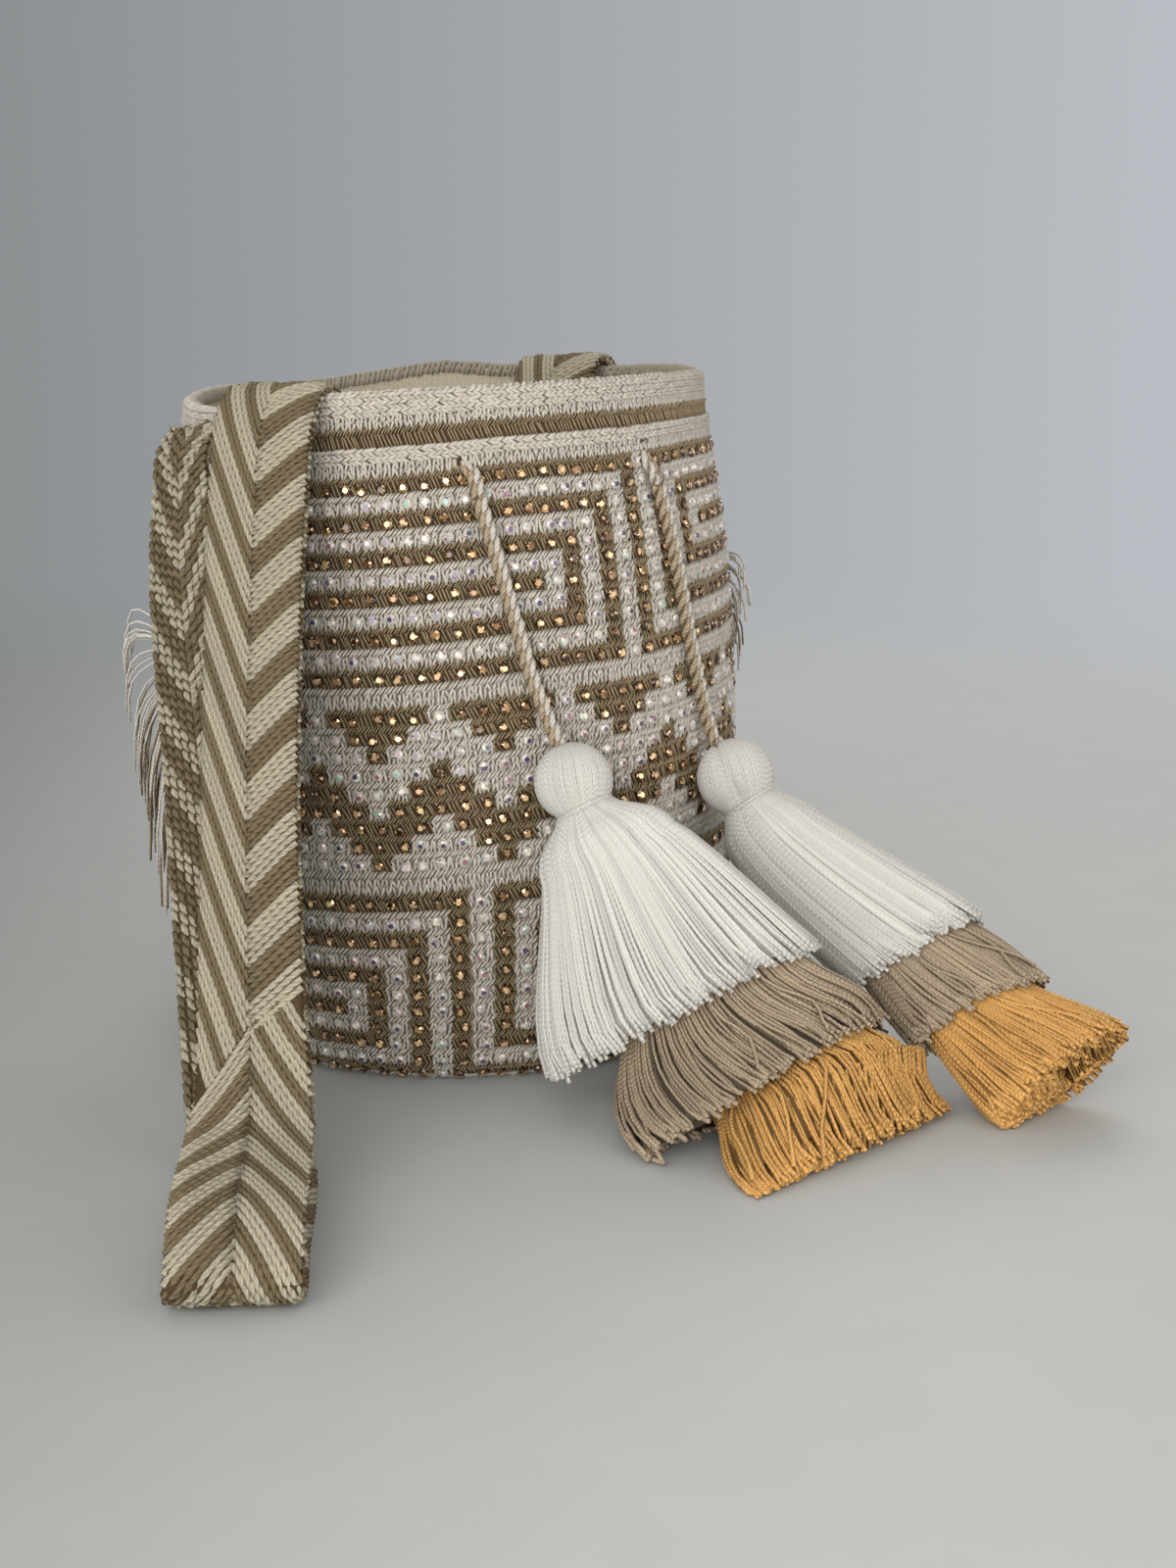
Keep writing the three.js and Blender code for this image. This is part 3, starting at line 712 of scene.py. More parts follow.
def yarn(name, colour, shade, deep, kind):
    """Yarn: two tones in a fibre noise and a felted bump, with a deep tone down its sides: painted shade
    where strands meet.

    Where it has plies, their twist shows as a bump and as painted shade down the grooves between them.
    """
    dyed = linear(*colour)
    material, tree, shader = new_material(
        name,
        Roughness=kind.roughness,
        Sheen_Weight=SHEEN,
        Sheen_Roughness=SHEEN_ROUGHNESS,
        Sheen_Tint=dyed,
        Specular_Tint=dyed,
        Specular_IOR_Level=kind.gloss,
    )
    noise = object_noise(tree, Scale=kind.fibre, Detail=4.0, Roughness=0.65)
    shown = ramp(tree, noise, (0.3, linear(*shade)), (0.62, dyed))
    normal = node(tree, "Bump", "Normal", Height=noise, Strength=0.35, Distance=FELT)
    thread = node(tree, "UVMap", "UV", [("uv_map", "thread")])
    along = node(tree, "SeparateXYZ", "X", Vector=thread)
    around = along.node.outputs["Y"]
    # Painted shade: the deep tone darkens each strand's sides, where it meets its neighbours, and fades out
    # towards its outer face.
    outwards = calc(tree, "ABSOLUTE", calc(tree, "MULTIPLY_ADD", around, 2.0, -1.0))
    unshaded_side = remap(tree, outwards, "SMOOTHSTEP", From_Min=PAINTED_SHADE_TO, From_Max=kind.open_from)
    shown = blend(tree, shown, blend(tree, deep + (1.0,), EVEN + (1.0,), unshaded_side, "MIX"))
    if kind.plies:
        turns = calc(tree, "MULTIPLY_ADD", along, 1 / kind.lay, calc(tree, "MULTIPLY", around, kind.plies))
        wave = calc(tree, "SINE", calc(tree, "MULTIPLY", turns, 2 * np.pi))
        twist = {"Height": wave, "Normal": normal, "Strength": 0.8, "Distance": kind.relief * MM}
        normal = node(tree, "Bump", "Normal", **twist)
        # Painted shade down the grooves between the plies: the colour darkens with the twist's wave by the
        # kind's depth.
        shown = blend(tree, shown, remap(tree, wave, From_Min=-1.0, To_Min=1 - kind.depth))
    feed(shader["Base Color"], tinted(tree, shown))
    feed(shader["Normal"], normal)
    return material


def crystal(name, colour, metallic):
    """A foiled glass stone whose facets carry their own tints, painted glints and painted dark reflections
    among them.
    """
    values = {"Metallic": metallic, "Roughness": 0.12, "Coat_Weight": 1.0, "Coat_Roughness": 0.03}
    material, tree, shader = new_material(name, **values)
    full = linear(*colour)
    dim = tuple(0.7 * channel for channel in full[:3]) + (1.0,)
    noise = object_noise(tree, Scale=700.0, Detail=2.0)
    feed(shader["Base Color"], tinted(tree, ramp(tree, noise, (0.35, dim), (0.6, full))))
    return material


# Kinds of yarn: the unshaded side is where the painted shade down its sides has ended, lay is the length of
# a turn of its twist, and depth is how far painted shade darkens the grooves between its plies
Kind = namedtuple("Kind", "roughness gloss fibre open_from plies lay depth relief", defaults=(0, 1, 0, 0))
COTTON = Kind(0.95, 0.15, 1500, 0.86)
GROUND = Kind(0.95, 0.1, 1200, 0.78)
BAND = Kind(0.9, 0.2, 1300, 0.8, 2, 3.6, 0.14, 0.4)
CORD = Kind(0.85, 0.25, 1300, 0.8, 3, 3.0, 0.14, 0.3)
FLOSS = Kind(0.4, 0.5, 1600, 1.0, 2, 2.0, 0.14, 0.2)
WHITE_FLOSS = Kind(0.5, 0.35, 1600, 0.78, 2, 2.0, 0.05, 0.12)
EVEN = (1.0, 1.0, 1.0)
SHEEN = 0.4
SHEEN_ROUGHNESS = 0.5
FELT = 0.0004
# Below this, on the inner part of a strand, the painted shade down its sides is full.
PAINTED_SHADE_TO = 0.3
# Yarns: name, colour, shade, deep tone (painted shade down the sides of the strands), kind
cream_cotton = yarn("cream_cotton", (198, 191, 179), (178, 170, 157), (0.6, 0.56, 0.5), COTTON)
tan_cotton = yarn("tan_cotton", (156, 139, 111), (122, 107, 82), (0.3, 0.26, 0.2), COTTON)
# The ground behind the strands: the yarn's colours darkened, painted shade in the gaps between strands; the
# tan ground is nearly all painted shade.
cream_ground_painted_shade = yarn("cream_ground_painted_shade", (184, 175, 161), (156, 147, 132), EVEN, GROUND)
tan_ground_painted_shade = yarn("tan_ground_painted_shade", (84, 69, 51), (58, 46, 33), EVEN, GROUND)
inside_cotton = yarn("inside_cotton", (206, 196, 174), (170, 160, 138), EVEN, GROUND)
cream_band = yarn("cream_band", (184, 175, 153), (158, 149, 128), (0.5, 0.46, 0.38), BAND)
tan_band = yarn("tan_band", (126, 112, 88), (101, 88, 67), (0.38, 0.33, 0.25), BAND)
cream_cord = yarn("cream_cord", (214, 206, 193), (192, 183, 169), (0.42, 0.37, 0.3), CORD)
tan_cord = yarn("tan_cord", (186, 168, 141), (152, 135, 110), (0.36, 0.3, 0.23), CORD)
white_fringe = yarn("white_fringe", (230, 225, 216), (208, 201, 190), (0.75, 0.72, 0.68), WHITE_FLOSS)
white_thread = yarn("white_thread", (208, 204, 196), (197, 193, 185), (0.72, 0.7, 0.66), WHITE_FLOSS)
taupe_thread = yarn("taupe_thread", (188, 170, 145), (152, 134, 109), (0.07, 0.045, 0.025), FLOSS)
gold_thread = yarn("gold_thread", (236, 186, 116), (194, 138, 68), (0.1, 0.035, 0.006), FLOSS)
gold_crystal = crystal("gold_crystal", (226, 192, 146), 0.55)
clear_crystal = crystal("clear_crystal", (200, 192, 182), 0.0)


def shades(count, spread):
    return 1 + spread * random.uniform(-1, 1, count)


# The crochet of the wall
Row = namedtuple("Row", "top bottom kind start colours stones")


def key_colours(cells):
    """The stepped key: bars that end in steps on both sides of a block of uprights."""
    width = cells // KEY_REPEATS
    column = (np.arange(cells) + width // 2) % width - width // 2
    lines = []
    for i, (left, right) in enumerate(KEY_ROWS):
        tan = (column % 2 == 0) & (column >= left) & (column <= right)
        if i % 2 == 0:
            tan |= (column <= left) | (column >= right)
        lines.append(np.where(tan, TAN, CREAM))
    return lines


def teeth_colours(cells):
    lines = []
    for line in TEETH_CHART:
        lines.append(np.array([TAN if line[c % len(line)] == "#" else CREAM for c in range(cells)]))
    return lines


def band_rows(pattern, cells, first, pitch, bow, angle, lean):
    lines = key_colours(cells) if pattern == "key" else teeth_colours(cells)
    count = len(lines)
    stones = [first - i * pitch + bow * np.sin(np.pi * i / (count - 1)) for i in range(count)]
    tops = [stone + STONE_BELOW_TOP * pitch for stone in stones]
    tops.append(tops[-1] - pitch)
    rows = []
    for i, line in enumerate(lines):
        rows.append(Row(tops[i], tops[i + 1], "stitch", angle + i * lean, line, stones[i]))
    return rows


def plain_row(top, bottom, kind, colour):
    return Row(top, bottom, kind, 0.0, np.full(PLAIN_CELLS, colour), None)


def wall_rows():
    """Every row of the wall from the rim down."""
    bands = [band_rows(*band) for band in BANDS]
    ends = [top for top, _, _ in RIM_ROWS[1:]] + [bands[0][0].top]
    rows = [plain_row(top, end, kind, colour) for (top, kind, colour), end in zip(RIM_ROWS, ends)]
    ends = [band[0].top for band in bands[1:]] + [LOWEST_PLACE]
    for band, end in zip(bands, ends):
        rows += band
        rows.append(plain_row(band[-1].bottom, end, "stitch", CREAM))
    return rows


def near_eyelet(angle, place):
    near = np.zeros(np.shape(angle), bool)
    for eyelet in EYELET_ANGLES:
        turn = (angle - eyelet + 180) % 360 - 180
        near |= (np.abs(turn) < EYELET_REACH[0]) & (np.abs(place - CORD_HEIGHT) < EYELET_REACH[1])
    return near


def add_strands(piece, angles, places, swell, widths, colour, sides=3):
    """Short strands on the wall, each through a few points, left out where the drawstring goes through."""
    middle = angles.shape[1] // 2
    keep = ~near_eyelet(angles[:, middle], places[:, middle])
    angles = angles[keep]
    places = row_place(angles, places[keep])
    count = len(angles)
    swell = np.broadcast_to(swell, keep.shape + angles.shape[1:])[keep]
    swell = swell + random.uniform(-0.2, 0.2, (count, 1))
    widths = np.asarray(widths) * shades(count, 0.14)[:, None]
    paths = wall(angles, places, swell)
    add_tubes(piece, paths, widths, wall_out(angles, places), sides, colour, shades(count, 0.1))


def spread(row, cells, strands):
    """Angles of evenly spread strands in some cells of a row, and the turn from one to the next."""
    turn = 360 / len(row.colours)
    step = turn / strands
    angle = row.start + cells[:, None] * turn + (np.arange(strands) + 0.5) * step - 0.5 * turn
    angle = angle.ravel()
    return angle + random.uniform(-0.16, 0.16, len(angle)) * step, step


def add_chain(piece, row):
    """A row of the rim: chain stitches on their side, each a pair of short fat strands."""
    cells = np.arange(len(row.colours))
    angle, step = spread(row, cells, CHAIN_STRANDS)
    middle = mix(row.top, row.bottom, 0.5)
    angles = angle[:, None] + STRAND * CHAIN_LEAN * step
    for end in (row.top, row.bottom):
        places = mix(middle, end, STRAND + 0.5) + random.uniform(-0.2, 0.2, (len(angle), 1))
        add_strands(piece, angles, places, CHAIN_SWELL, CHAIN_RADIUS, CREAM)


def add_row(piece, row):
    """One row of stitches: a ridge of slanting strands on top and upright strands under it."""
    if row.kind == "chain":
        add_chain(piece, row)
        return
    pitch = row.top - row.bottom
    ridge_foot = row.top - RIDGE_SHARE * pitch if row.kind == "stitch" else row.top
    for colour in (CREAM, TAN):
        cells = np.flatnonzero(row.colours == colour)
        if row.kind == "stitch":
            angle, step = spread(row, cells, RIDGE_STRANDS[colour])
            angles = angle[:, None] + STRAND * RIDGE_LEAN[colour] * step
            rise = (STRAND + 0.5) * RIDGE_SHARE * pitch * RIDGE_RISE[colour]
            places = ridge_foot + rise + random.uniform(-0.18, 0.18, (len(angle), 1))
            widths = RIDGE_RADIUS[colour] * RIDGE_TAPER
            add_strands(piece, angles, places, RIDGE_SWELL[colour], widths, colour)
        # The lumps of a post: top, foot, how far it stands out at each
        middle = mix(ridge_foot, row.bottom, 0.5)
        lumps = [(ridge_foot + 0.6, row.bottom - 0.6, 0.4, 0.15)]
        if colour == CREAM:
            lumps = [
                (ridge_foot + 0.5, middle - 0.4, 0.5, 0.35),
                (middle + 0.4, row.bottom - 0.5, 0.45, 0.3),
            ]
        for high, low, swell_high, swell_low in lumps:
            angle, step = spread(row, cells, POST_STRANDS[colour])
            side = np.where(np.arange(len(angle)) % 2 == 0, 0.5, -0.5)
            slant = np.full(len(angle), 1.5) if colour == TAN else side
            angles = angle[:, None] - np.array([0.5, -0.5]) * slant[:, None] * step
            angles = angles + random.uniform(-0.3, 0.3, angles.shape) * step
            places = np.array([high, low]) + random.uniform(-0.5, 0.5, angles.shape)
            widths = POST_RADIUS[colour] * np.array([1.05, 0.95])
            add_strands(piece, angles, places, [swell_high, swell_low], widths, colour)


def add_rim_roll(piece, top):
    """Fat strands that roll over the edge of the rim and a little way down its inside."""
    count = PLAIN_CELLS * CHAIN_STRANDS
    angle = (np.arange(count) + random.uniform(-0.2, 0.2, count)) * 360 / count
    lean = np.array([0.0, 0.4, 0.9, 1.5]) * 360 / count
    angles = angle[:, None] + lean
    offsets = np.array([0.5, -0.6, -WALL + 0.6, -WALL - 0.4]) + random.uniform(-0.15, 0.15, (count, 1))
    paths = wall(angles, np.full(angles.shape, top), offsets)
    paths[..., 2] += np.array([-0.6, 0.6, 0.6, -3.2]) + random.uniform(-0.2, 0.2, (count, 1))
    inwards = np.array([bag_shift(BAG_HEIGHT), 0, top - WALL])
    widths = shades(count, 0.1)[:, None]
    add_tubes(piece, paths, widths, paths - inwards, 4, CREAM, shades(count, 0.08))


def build_wall():
    rows = wall_rows()
    pieces = {part: Piece() for part in ("rim", "upper", "middle", "lower")}
    for row in rows:
        if row.stones is None and row.top > CORD_HEIGHT:
            part = "rim"
        elif row.top > UPPER_ENDS:
            part = "upper"
        else:
            part = "middle" if row.top > MIDDLE_ENDS else "lower"
        add_row(pieces[part], row)
    add_rim_roll(pieces["rim"], rows[0].top)
    for part, piece in pieces.items():
        piece.build(f"bag_stitches_{part}", [cream_cotton, tan_cotton], "bag_crochet", ["bag_body"])
    build_shell(rows)
    build_stones(rows)


def build_shell(rows):
    """The cloth behind the stitches: its outside in the charted colours, darkened as painted shade between
    the stitches, the ribbed inside and the base.
    """
    shell = Piece()
    columns = 360
    angle = np.arange(columns) * 360 / columns
    places = [rows[0].top] + [row.bottom for row in rows]
    outer = np.stack([wall(angle, row_place(angle, place), -0.15) for place in places])
    index = np.arange(outer.shape[0] * columns).reshape(outer.shape[0], columns)
    after = np.roll(index, -1, 1)
    quads = np.stack([index[1:], after[1:], after[:-1], index[:-1]], -1)
    colours = []
    for row in rows:
        cells = len(row.colours)
        cell = np.floor((angle + 180 / columns - row.start) * cells / 360 + 0.5).astype(int) % cells
        shown = row.colours[cell]
        # Where the stitches stand back from an eyelet, the cloth takes the dark tan ground: a painted
        # shadow where the drawstring goes through the wall.
        if row.bottom < CORD_HEIGHT < row.top:
            shown = np.where(near_eyelet(angle + 180 / columns, CORD_HEIGHT), TAN, shown)
        colours.append(shown)
    shell.add(outer, quads.reshape(-1, 4), np.concatenate(colours))
    columns = INSIDE_COLUMNS
    angle = np.arange(columns) * 360 / columns
    inner_places = np.arange(rows[0].top - 1, 10, -INSIDE_PITCH)
    ribs = INSIDE_RIB * np.cos(np.arange(columns) * np.pi)
    inner = []
    for i, place in enumerate(inner_places):
        inner.append(wall(angle, np.full(columns, place), -WALL + ribs + INSIDE_RIB * (i % 2)))
    add_grid(shell, np.stack(inner), 2)
    edge = wall(angle, row_place(angle, places[0]), -0.15)
    rim = np.stack([edge, wall(angle, places[0], -0.5 * WALL), inner[0]])
    add_grid(shell, rim, 3)
    foot = wall(angle, 8, -WALL)
    foot[:, 2] = np.maximum(foot[:, 2], WALL)
    centre = np.array([bag_shift(0), 0, 0])
    rounds = [inner[-1], foot]
    for i, share in enumerate(np.linspace(0.97, 0.02, 18)):
        ring = centre + (foot - centre) * share
        ring[:, 2] = WALL + 0.5 * (i % 2)
        rounds.append(ring)
    add_grid(shell, np.stack(rounds), 2)
    shell.add(rounds[-1], np.arange(columns)[None], 2)
    lowest = wall(angle, row_place(angle, places[-1]), -0.15)
    under = [lowest]
    for i, share in enumerate(np.linspace(0.985, 0.02, 18)):
        ring = centre + (lowest - centre) * share
        ring[:, 2] = 0.2 + 0.9 * (i % 2)
        under.append(ring)
    add_grid(shell, np.stack(under), 3, flip=True)
    shell.add(under[-1], np.arange(columns)[None, ::-1], 3)
    materials = [cream_ground_painted_shade, tan_ground_painted_shade, inside_cotton, cream_cotton]
    shell.build("bag_cloth", materials, "bag_crochet", ["bag_body"])


# Stones
def facet_tints(count, palette, weights, facets):
    """A tint for each facet of each stone, drawn from a short palette of the stones' colours, painted
    glints and painted dark reflections.
    """
    drawn = random.choice(len(palette), (count, facets), p=weights)
    tints = np.array(palette)[drawn]
    return tints * random.uniform(0.85, 1.1, (count, facets, 1))


def add_stones(piece, centres, outs, table_radius, table, crown, skirt):
    """Round stones with a table and two rows of crown facets, each turned and tipped a little."""
    count = len(centres)
    lean = random.normal(0, 0.13, (count, 3))
    up = unit(outs + lean)
    side = unit(np.cross(up, np.array([0.0, 0.0, 1.0])))
    front = np.cross(up, side)
    spin = random.uniform(0, np.pi / 4, (count, 1))
    size = STONE_RADIUS * random.uniform(0.93, 1.07, (count, 1, 1))
    rings = []
    # Rings of a stone: radius and height as shares of the stone's radius, turn as a share of a facet
    for radius, height, turn in [(table_radius, 0.66, 0.0), (0.84, 0.42, 0.5), (1.0, 0.0, 0.0)]:
        angle = spin + 2 * np.pi * (np.arange(8) + turn) / 8
        level = np.cos(angle)[..., None] * side[:, None] + np.sin(angle)[..., None] * front[:, None]
        rings.append(centres[:, None] + size * (radius * level + height * up[:, None]))
    points = np.concatenate(rings, 1)
    start = 24 * np.arange(count)[:, None]
    k = np.arange(8)
    nxt = (k + 1) % 8
    table_face = start + k
    crown_faces = np.concatenate(
        [np.stack([k, 8 + k, nxt], 1), np.stack([nxt, 8 + k, 8 + nxt], 1)]
    )
    skirt_faces = np.concatenate(
        [np.stack([8 + k, 16 + nxt, 8 + nxt], 1), np.stack([8 + k, 16 + k, 16 + nxt], 1)]
    )
    facing = np.cross(points[0, 8] - points[0, 0], points[0, 1] - points[0, 0])
    flipped = np.dot(facing, up[0]) < 0
    for faces, tints, on_points in [
        (table_face, table[:, 0, None, :].repeat(8, 1), points),
        ((start[..., None] + crown_faces).reshape(-1, 3), crown.reshape(-1, 1, 3).repeat(3, 1), None),
        ((start[..., None] + skirt_faces).reshape(-1, 3), skirt.reshape(-1, 1, 3).repeat(3, 1), None),
        ((start + 16 + k)[:, ::-1], 0.5, None),
    ]:
        piece.add(on_points, faces[:, ::-1] if flipped else faces, 0, tints, None, False)


def stone_places(rows, colour):
    """Angle and place of every stone on cells of one colour, left out under the strap's sewn ends."""
    angles, places = [], []
    for row in rows:
        if row.stones is None:
            continue
        cells = np.flatnonzero(row.colours == colour)
        angle = row.start + cells * 360 / len(row.colours)
        wrapped = (angle + 180) % 360 - 180
        under_left = (np.abs(wrapped + 52) < 11.5) & (row.stones > 163)
        right_end = mix(128, 141, (row.stones - 168) / 54)
        under_right = (np.abs(wrapped - right_end) < 12) & (row.stones > 160)
        angle = angle[~under_left & ~under_right]
        angles.append(angle)
        places.append(np.full(len(angle), row.stones))
    angle = np.concatenate(angles)
    place = np.concatenate(places)
    angle = angle + random.normal(0, 0.32, len(angle))
    return angle, row_place(angle, place) + random.normal(0, 0.35, len(place))


# Facet colours: tint, share on the table, on the crown, on the skirt. Tints above 1 are painted glints, the
# near-black gold tint is a painted dark reflection, and the rest are the stones' own colours and their
# coating's tints.
GOLD_FACETS = [
    ((1.6, 1.52, 1.42), 0.42, 0.12, 0.0),
    ((0.85, 0.74, 0.6), 0.26, 0.12, 0.0),
    ((0.42, 0.29, 0.18), 0.2, 0.24, 0.12),
    ((0.09, 0.06, 0.04), 0.12, 0.52, 0.88),
]
CLEAR_FACETS = [
    ((1.0, 0.99, 0.98), 0.2, 0.66, 0.86),
    ((0.8, 0.76, 0.86), 0.06, 0.14, 0.1),
    ((0.16, 0.12, 0.3), 0.42, 0.04, 0.0),
    ((0.6, 0.24, 0.34), 0.1, 0.03, 0.0),
    ((0.5, 1.0, 0.85), 0.06, 0.04, 0.02),
    ((1.6, 1.6, 1.4), 0.16, 0.09, 0.02),
]


def build_stones(rows):
    for name, colour, facets, table_radius, material in [
        ("stones_gold", TAN, GOLD_FACETS, 0.46, gold_crystal),
        ("stones_clear", CREAM, CLEAR_FACETS, 0.44, clear_crystal),
    ]:
        angle, place = stone_places(rows, colour)
        palette, on_table, on_crown, on_skirt = zip(*facets)
        count = len(angle)
        stones = Piece()
        add_stones(
            stones,
            wall(angle, place, 0.75),
            wall_out(angle, place),
            table_radius,
            facet_tints(count, palette, on_table, 1),
            facet_tints(count, palette, on_crown, 16),
            facet_tints(count, palette, on_skirt, 16),
        )
        stones.build(name, [material], "bag_crochet", ["bag_body"])


# Cords
def level_points(rows):
    return [level_wall(*row) for row in rows]


def tassel_axis(tassel):
    """The tassel's centre line, width line, half width and half thickness along it."""
    sections = tassel["sections"]
    centres = smooth_curve([row[:3] for row in sections])
    widths = smooth_curve(width_lines([row[5:7] for row in sections]))
    keys = np.linspace(0, 1, len(sections))
    half_width = smooth_column(keys, [row[3] for row in sections])
    half_thick = smooth_column(keys, [row[4] for row in sections])
    return centres, widths, half_width, half_thick


def tassel_frame(tassel, share):
    centres, widths, half_width, half_thick = tassel_axis(tassel)
    along = tangent(centres, share)
    across = unit(widths(share))
    out = unit(np.cross(along, across))
    square = np.cross(out, along)
    line = np.where((share > NECK)[..., None], across, square)
    return centres(share), along, line, out, half_width(share), half_thick(share)


def tail_path(rows, tassel):
    points = level_points(rows)
    points[0] = points[0] + SEAT_GAP * unit(points[1] - points[0])
    centre, along, _, _, _, _ = tassel_frame(tassel, np.zeros(1))
    top = tassel["radius"] * np.cos(np.radians(HEAD_TOP_ANGLE)) + SEAT_GAP
    points.append(centre[0] - along[0] * (top + TAIL_APPROACH))
    points.append(centre[0] - along[0] * top)
    return smooth_curve(points)


def drawstring_path():
    outside = CORD_DIAMETER / 2 + EYELET_CLEARANCE
    inside = -WALL - CORD_DIAMETER / 2 - EYELET_CLEARANCE
    rows = [TAIL_LEFT[0], LEFT_EXIT[1], LEFT_EXIT[0]]
    crossing = [-1, -0.6, -0.3, 0, 0.3, 0.6, 1]
    final = len(EYELET_ANGLES) - 1
    for i, eyelet in enumerate(EYELET_ANGLES):
        start, end = (outside, inside) if i % 2 == 0 else (inside, outside)
        for share in crossing:
            if (i == 0 and share < 0) or (i == final and share > 0):
                continue
            rounded = 0.5 + 0.5 * np.sin(share * np.pi / 2)
            rows.append((eyelet - share * EYELET_HALF_TURN, CORD_HEIGHT, mix(start, end, rounded)))
        if i == final:
            break
        leave = eyelet - EYELET_HALF_TURN
        arrive = EYELET_ANGLES[i + 1] + EYELET_HALF_TURN
        rows += [(mix(leave, arrive, share), CORD_HEIGHT, end) for share in (0.25, 0.5, 0.75)]
    rows += [RIGHT_EXIT[0], RIGHT_EXIT[1], TAIL_RIGHT[0]]
    return smooth_curve(level_points(rows))


def even_points(curve, gap):
    """Points along a curve at an even distance."""
    fine = curve(np.linspace(0, 1, 4000))
    run = lengths(fine)
    count = max(4, int(round(run[-1] / gap)) + 1)
    at = np.linspace(0, run[-1], count)
    return np.stack([np.interp(at, run, fine[:, k]) for k in range(3)], 1)


def carried_frame(path):
    """Two directions square to a path that turn with it as little as they can."""
    along = unit(np.gradient(path, axis=0))
    side = np.zeros_like(path)
    side[0] = unit(np.cross(path[0] * [1, 1, 0], along[0]))
    side[0] *= np.sign(side[0, 0])
    for i in range(1, len(path)):
        side[i] = unit(side[i - 1] - np.dot(side[i - 1], along[i]) * along[i])
    return side, np.cross(along, side)


def twisted_cord(name, path, node_name):
    """A cream pair of yarns beside a tan pair, the two pairs twisted opposite ways."""
    cord = Piece()
    side, up = carried_frame(path)
    turn = 2 * np.pi * lengths(path) / PAIR_PITCH
    strands, ups = [], []
    for half in (1, -1):
        for start in (0, np.pi):
            across = half * np.cos(half * turn + start)[:, None] * side
            deep = np.sin(half * turn + start)[:, None] * up
            strands.append(path + half * PAIR_APART * side + PAIR_REACH * across + PAIR_DEPTH * deep)
            ups.append(across + deep)
    add_tubes(cord, np.array(strands), PAIR_YARN_RADIUS, np.array(ups), 5, [CREAM, CREAM, TAN, TAN])
    return cord.build(name, [cream_cord, tan_cord], "drawstring_cord", [node_name])


def build_cords():
    twisted_cord("drawstring_threaded", even_points(drawstring_path(), 2.0), "drawstring_loop")
    for side, tassel in TASSELS.items():
        path = even_points(tail_path(tassel["tail"], tassel), 1.1)
        tail = twisted_cord(f"drawstring_{side}_tail", path, f"drawstring_tail_{side}")


# Tassels
def section_points(tassel, share, turn, scale):
    """Points on the tassel's skirt at shares along it and turns round it."""
    centre, along, line, out, half_width, half_thick = tassel_frame(tassel, share)
    across = (half_width * scale * np.cos(turn))[..., None] * line
    deep = (half_thick * scale * np.sin(turn))[..., None] * out
    points = centre + across + deep
    points[..., 2] = np.maximum(points[..., 2], THREAD_RADIUS + FLOOR_CLEARANCE)
    return points


def waves(turn, counts):
    """A gentle unevenness round a tassel that never repeats itself, between about -1 and 1."""
    total = np.zeros(np.shape(turn))
    for count in counts:
        total = total + np.sin(count * turn + random.uniform(0, 2 * np.pi))
    return total / np.sqrt(len(counts))


def hem_share(tassel, tier, turn):
    """Where a tier ends at turns round it: it may hang longer on one side."""
    share, drop, drop_turn = tassel["hems"][tier]
    ends = tassel_axis(tassel)[0](np.array([share - 0.02, share]))
    reach = np.linalg.norm(ends[1] - ends[0]) / 0.02
    return share + drop / reach * np.maximum(0, np.cos(turn - np.radians(drop_turn)))


def section_outwards(tassel, share, turn):
    """Directions square to the tassel's skirt."""
    _, _, line, out, half_width, half_thick = tassel_frame(tassel, share)
    across = (half_thick * np.cos(turn))[..., None] * line
    deep = (half_width * np.sin(turn))[..., None] * out
    return unit(across + deep)


def lying(tassel, tier, shares):
    """How far the threads of a tier have bent down to the floor."""
    if tier != "gold":
        return np.zeros(np.shape(shares))
    lie = np.clip((shares - LIE_FROM) / (1 - LIE_FROM), 0, 1)
    return tassel["lie"] * lie * lie * (3 - 2 * lie)


def settled(tassel, tier, shares, share, points):
    """Points where a tier's threads lie: a lower tier starts shifted, and the gold bends to the floor."""
    if tier != "white":
        points = points + (tassel["shift"] * (1 - share))[..., None] * tassel_frame(tassel, shares)[2]
    points[..., 2] = mix(points[..., 2], THREAD_RADIUS, lying(tassel, tier, shares))
    return points


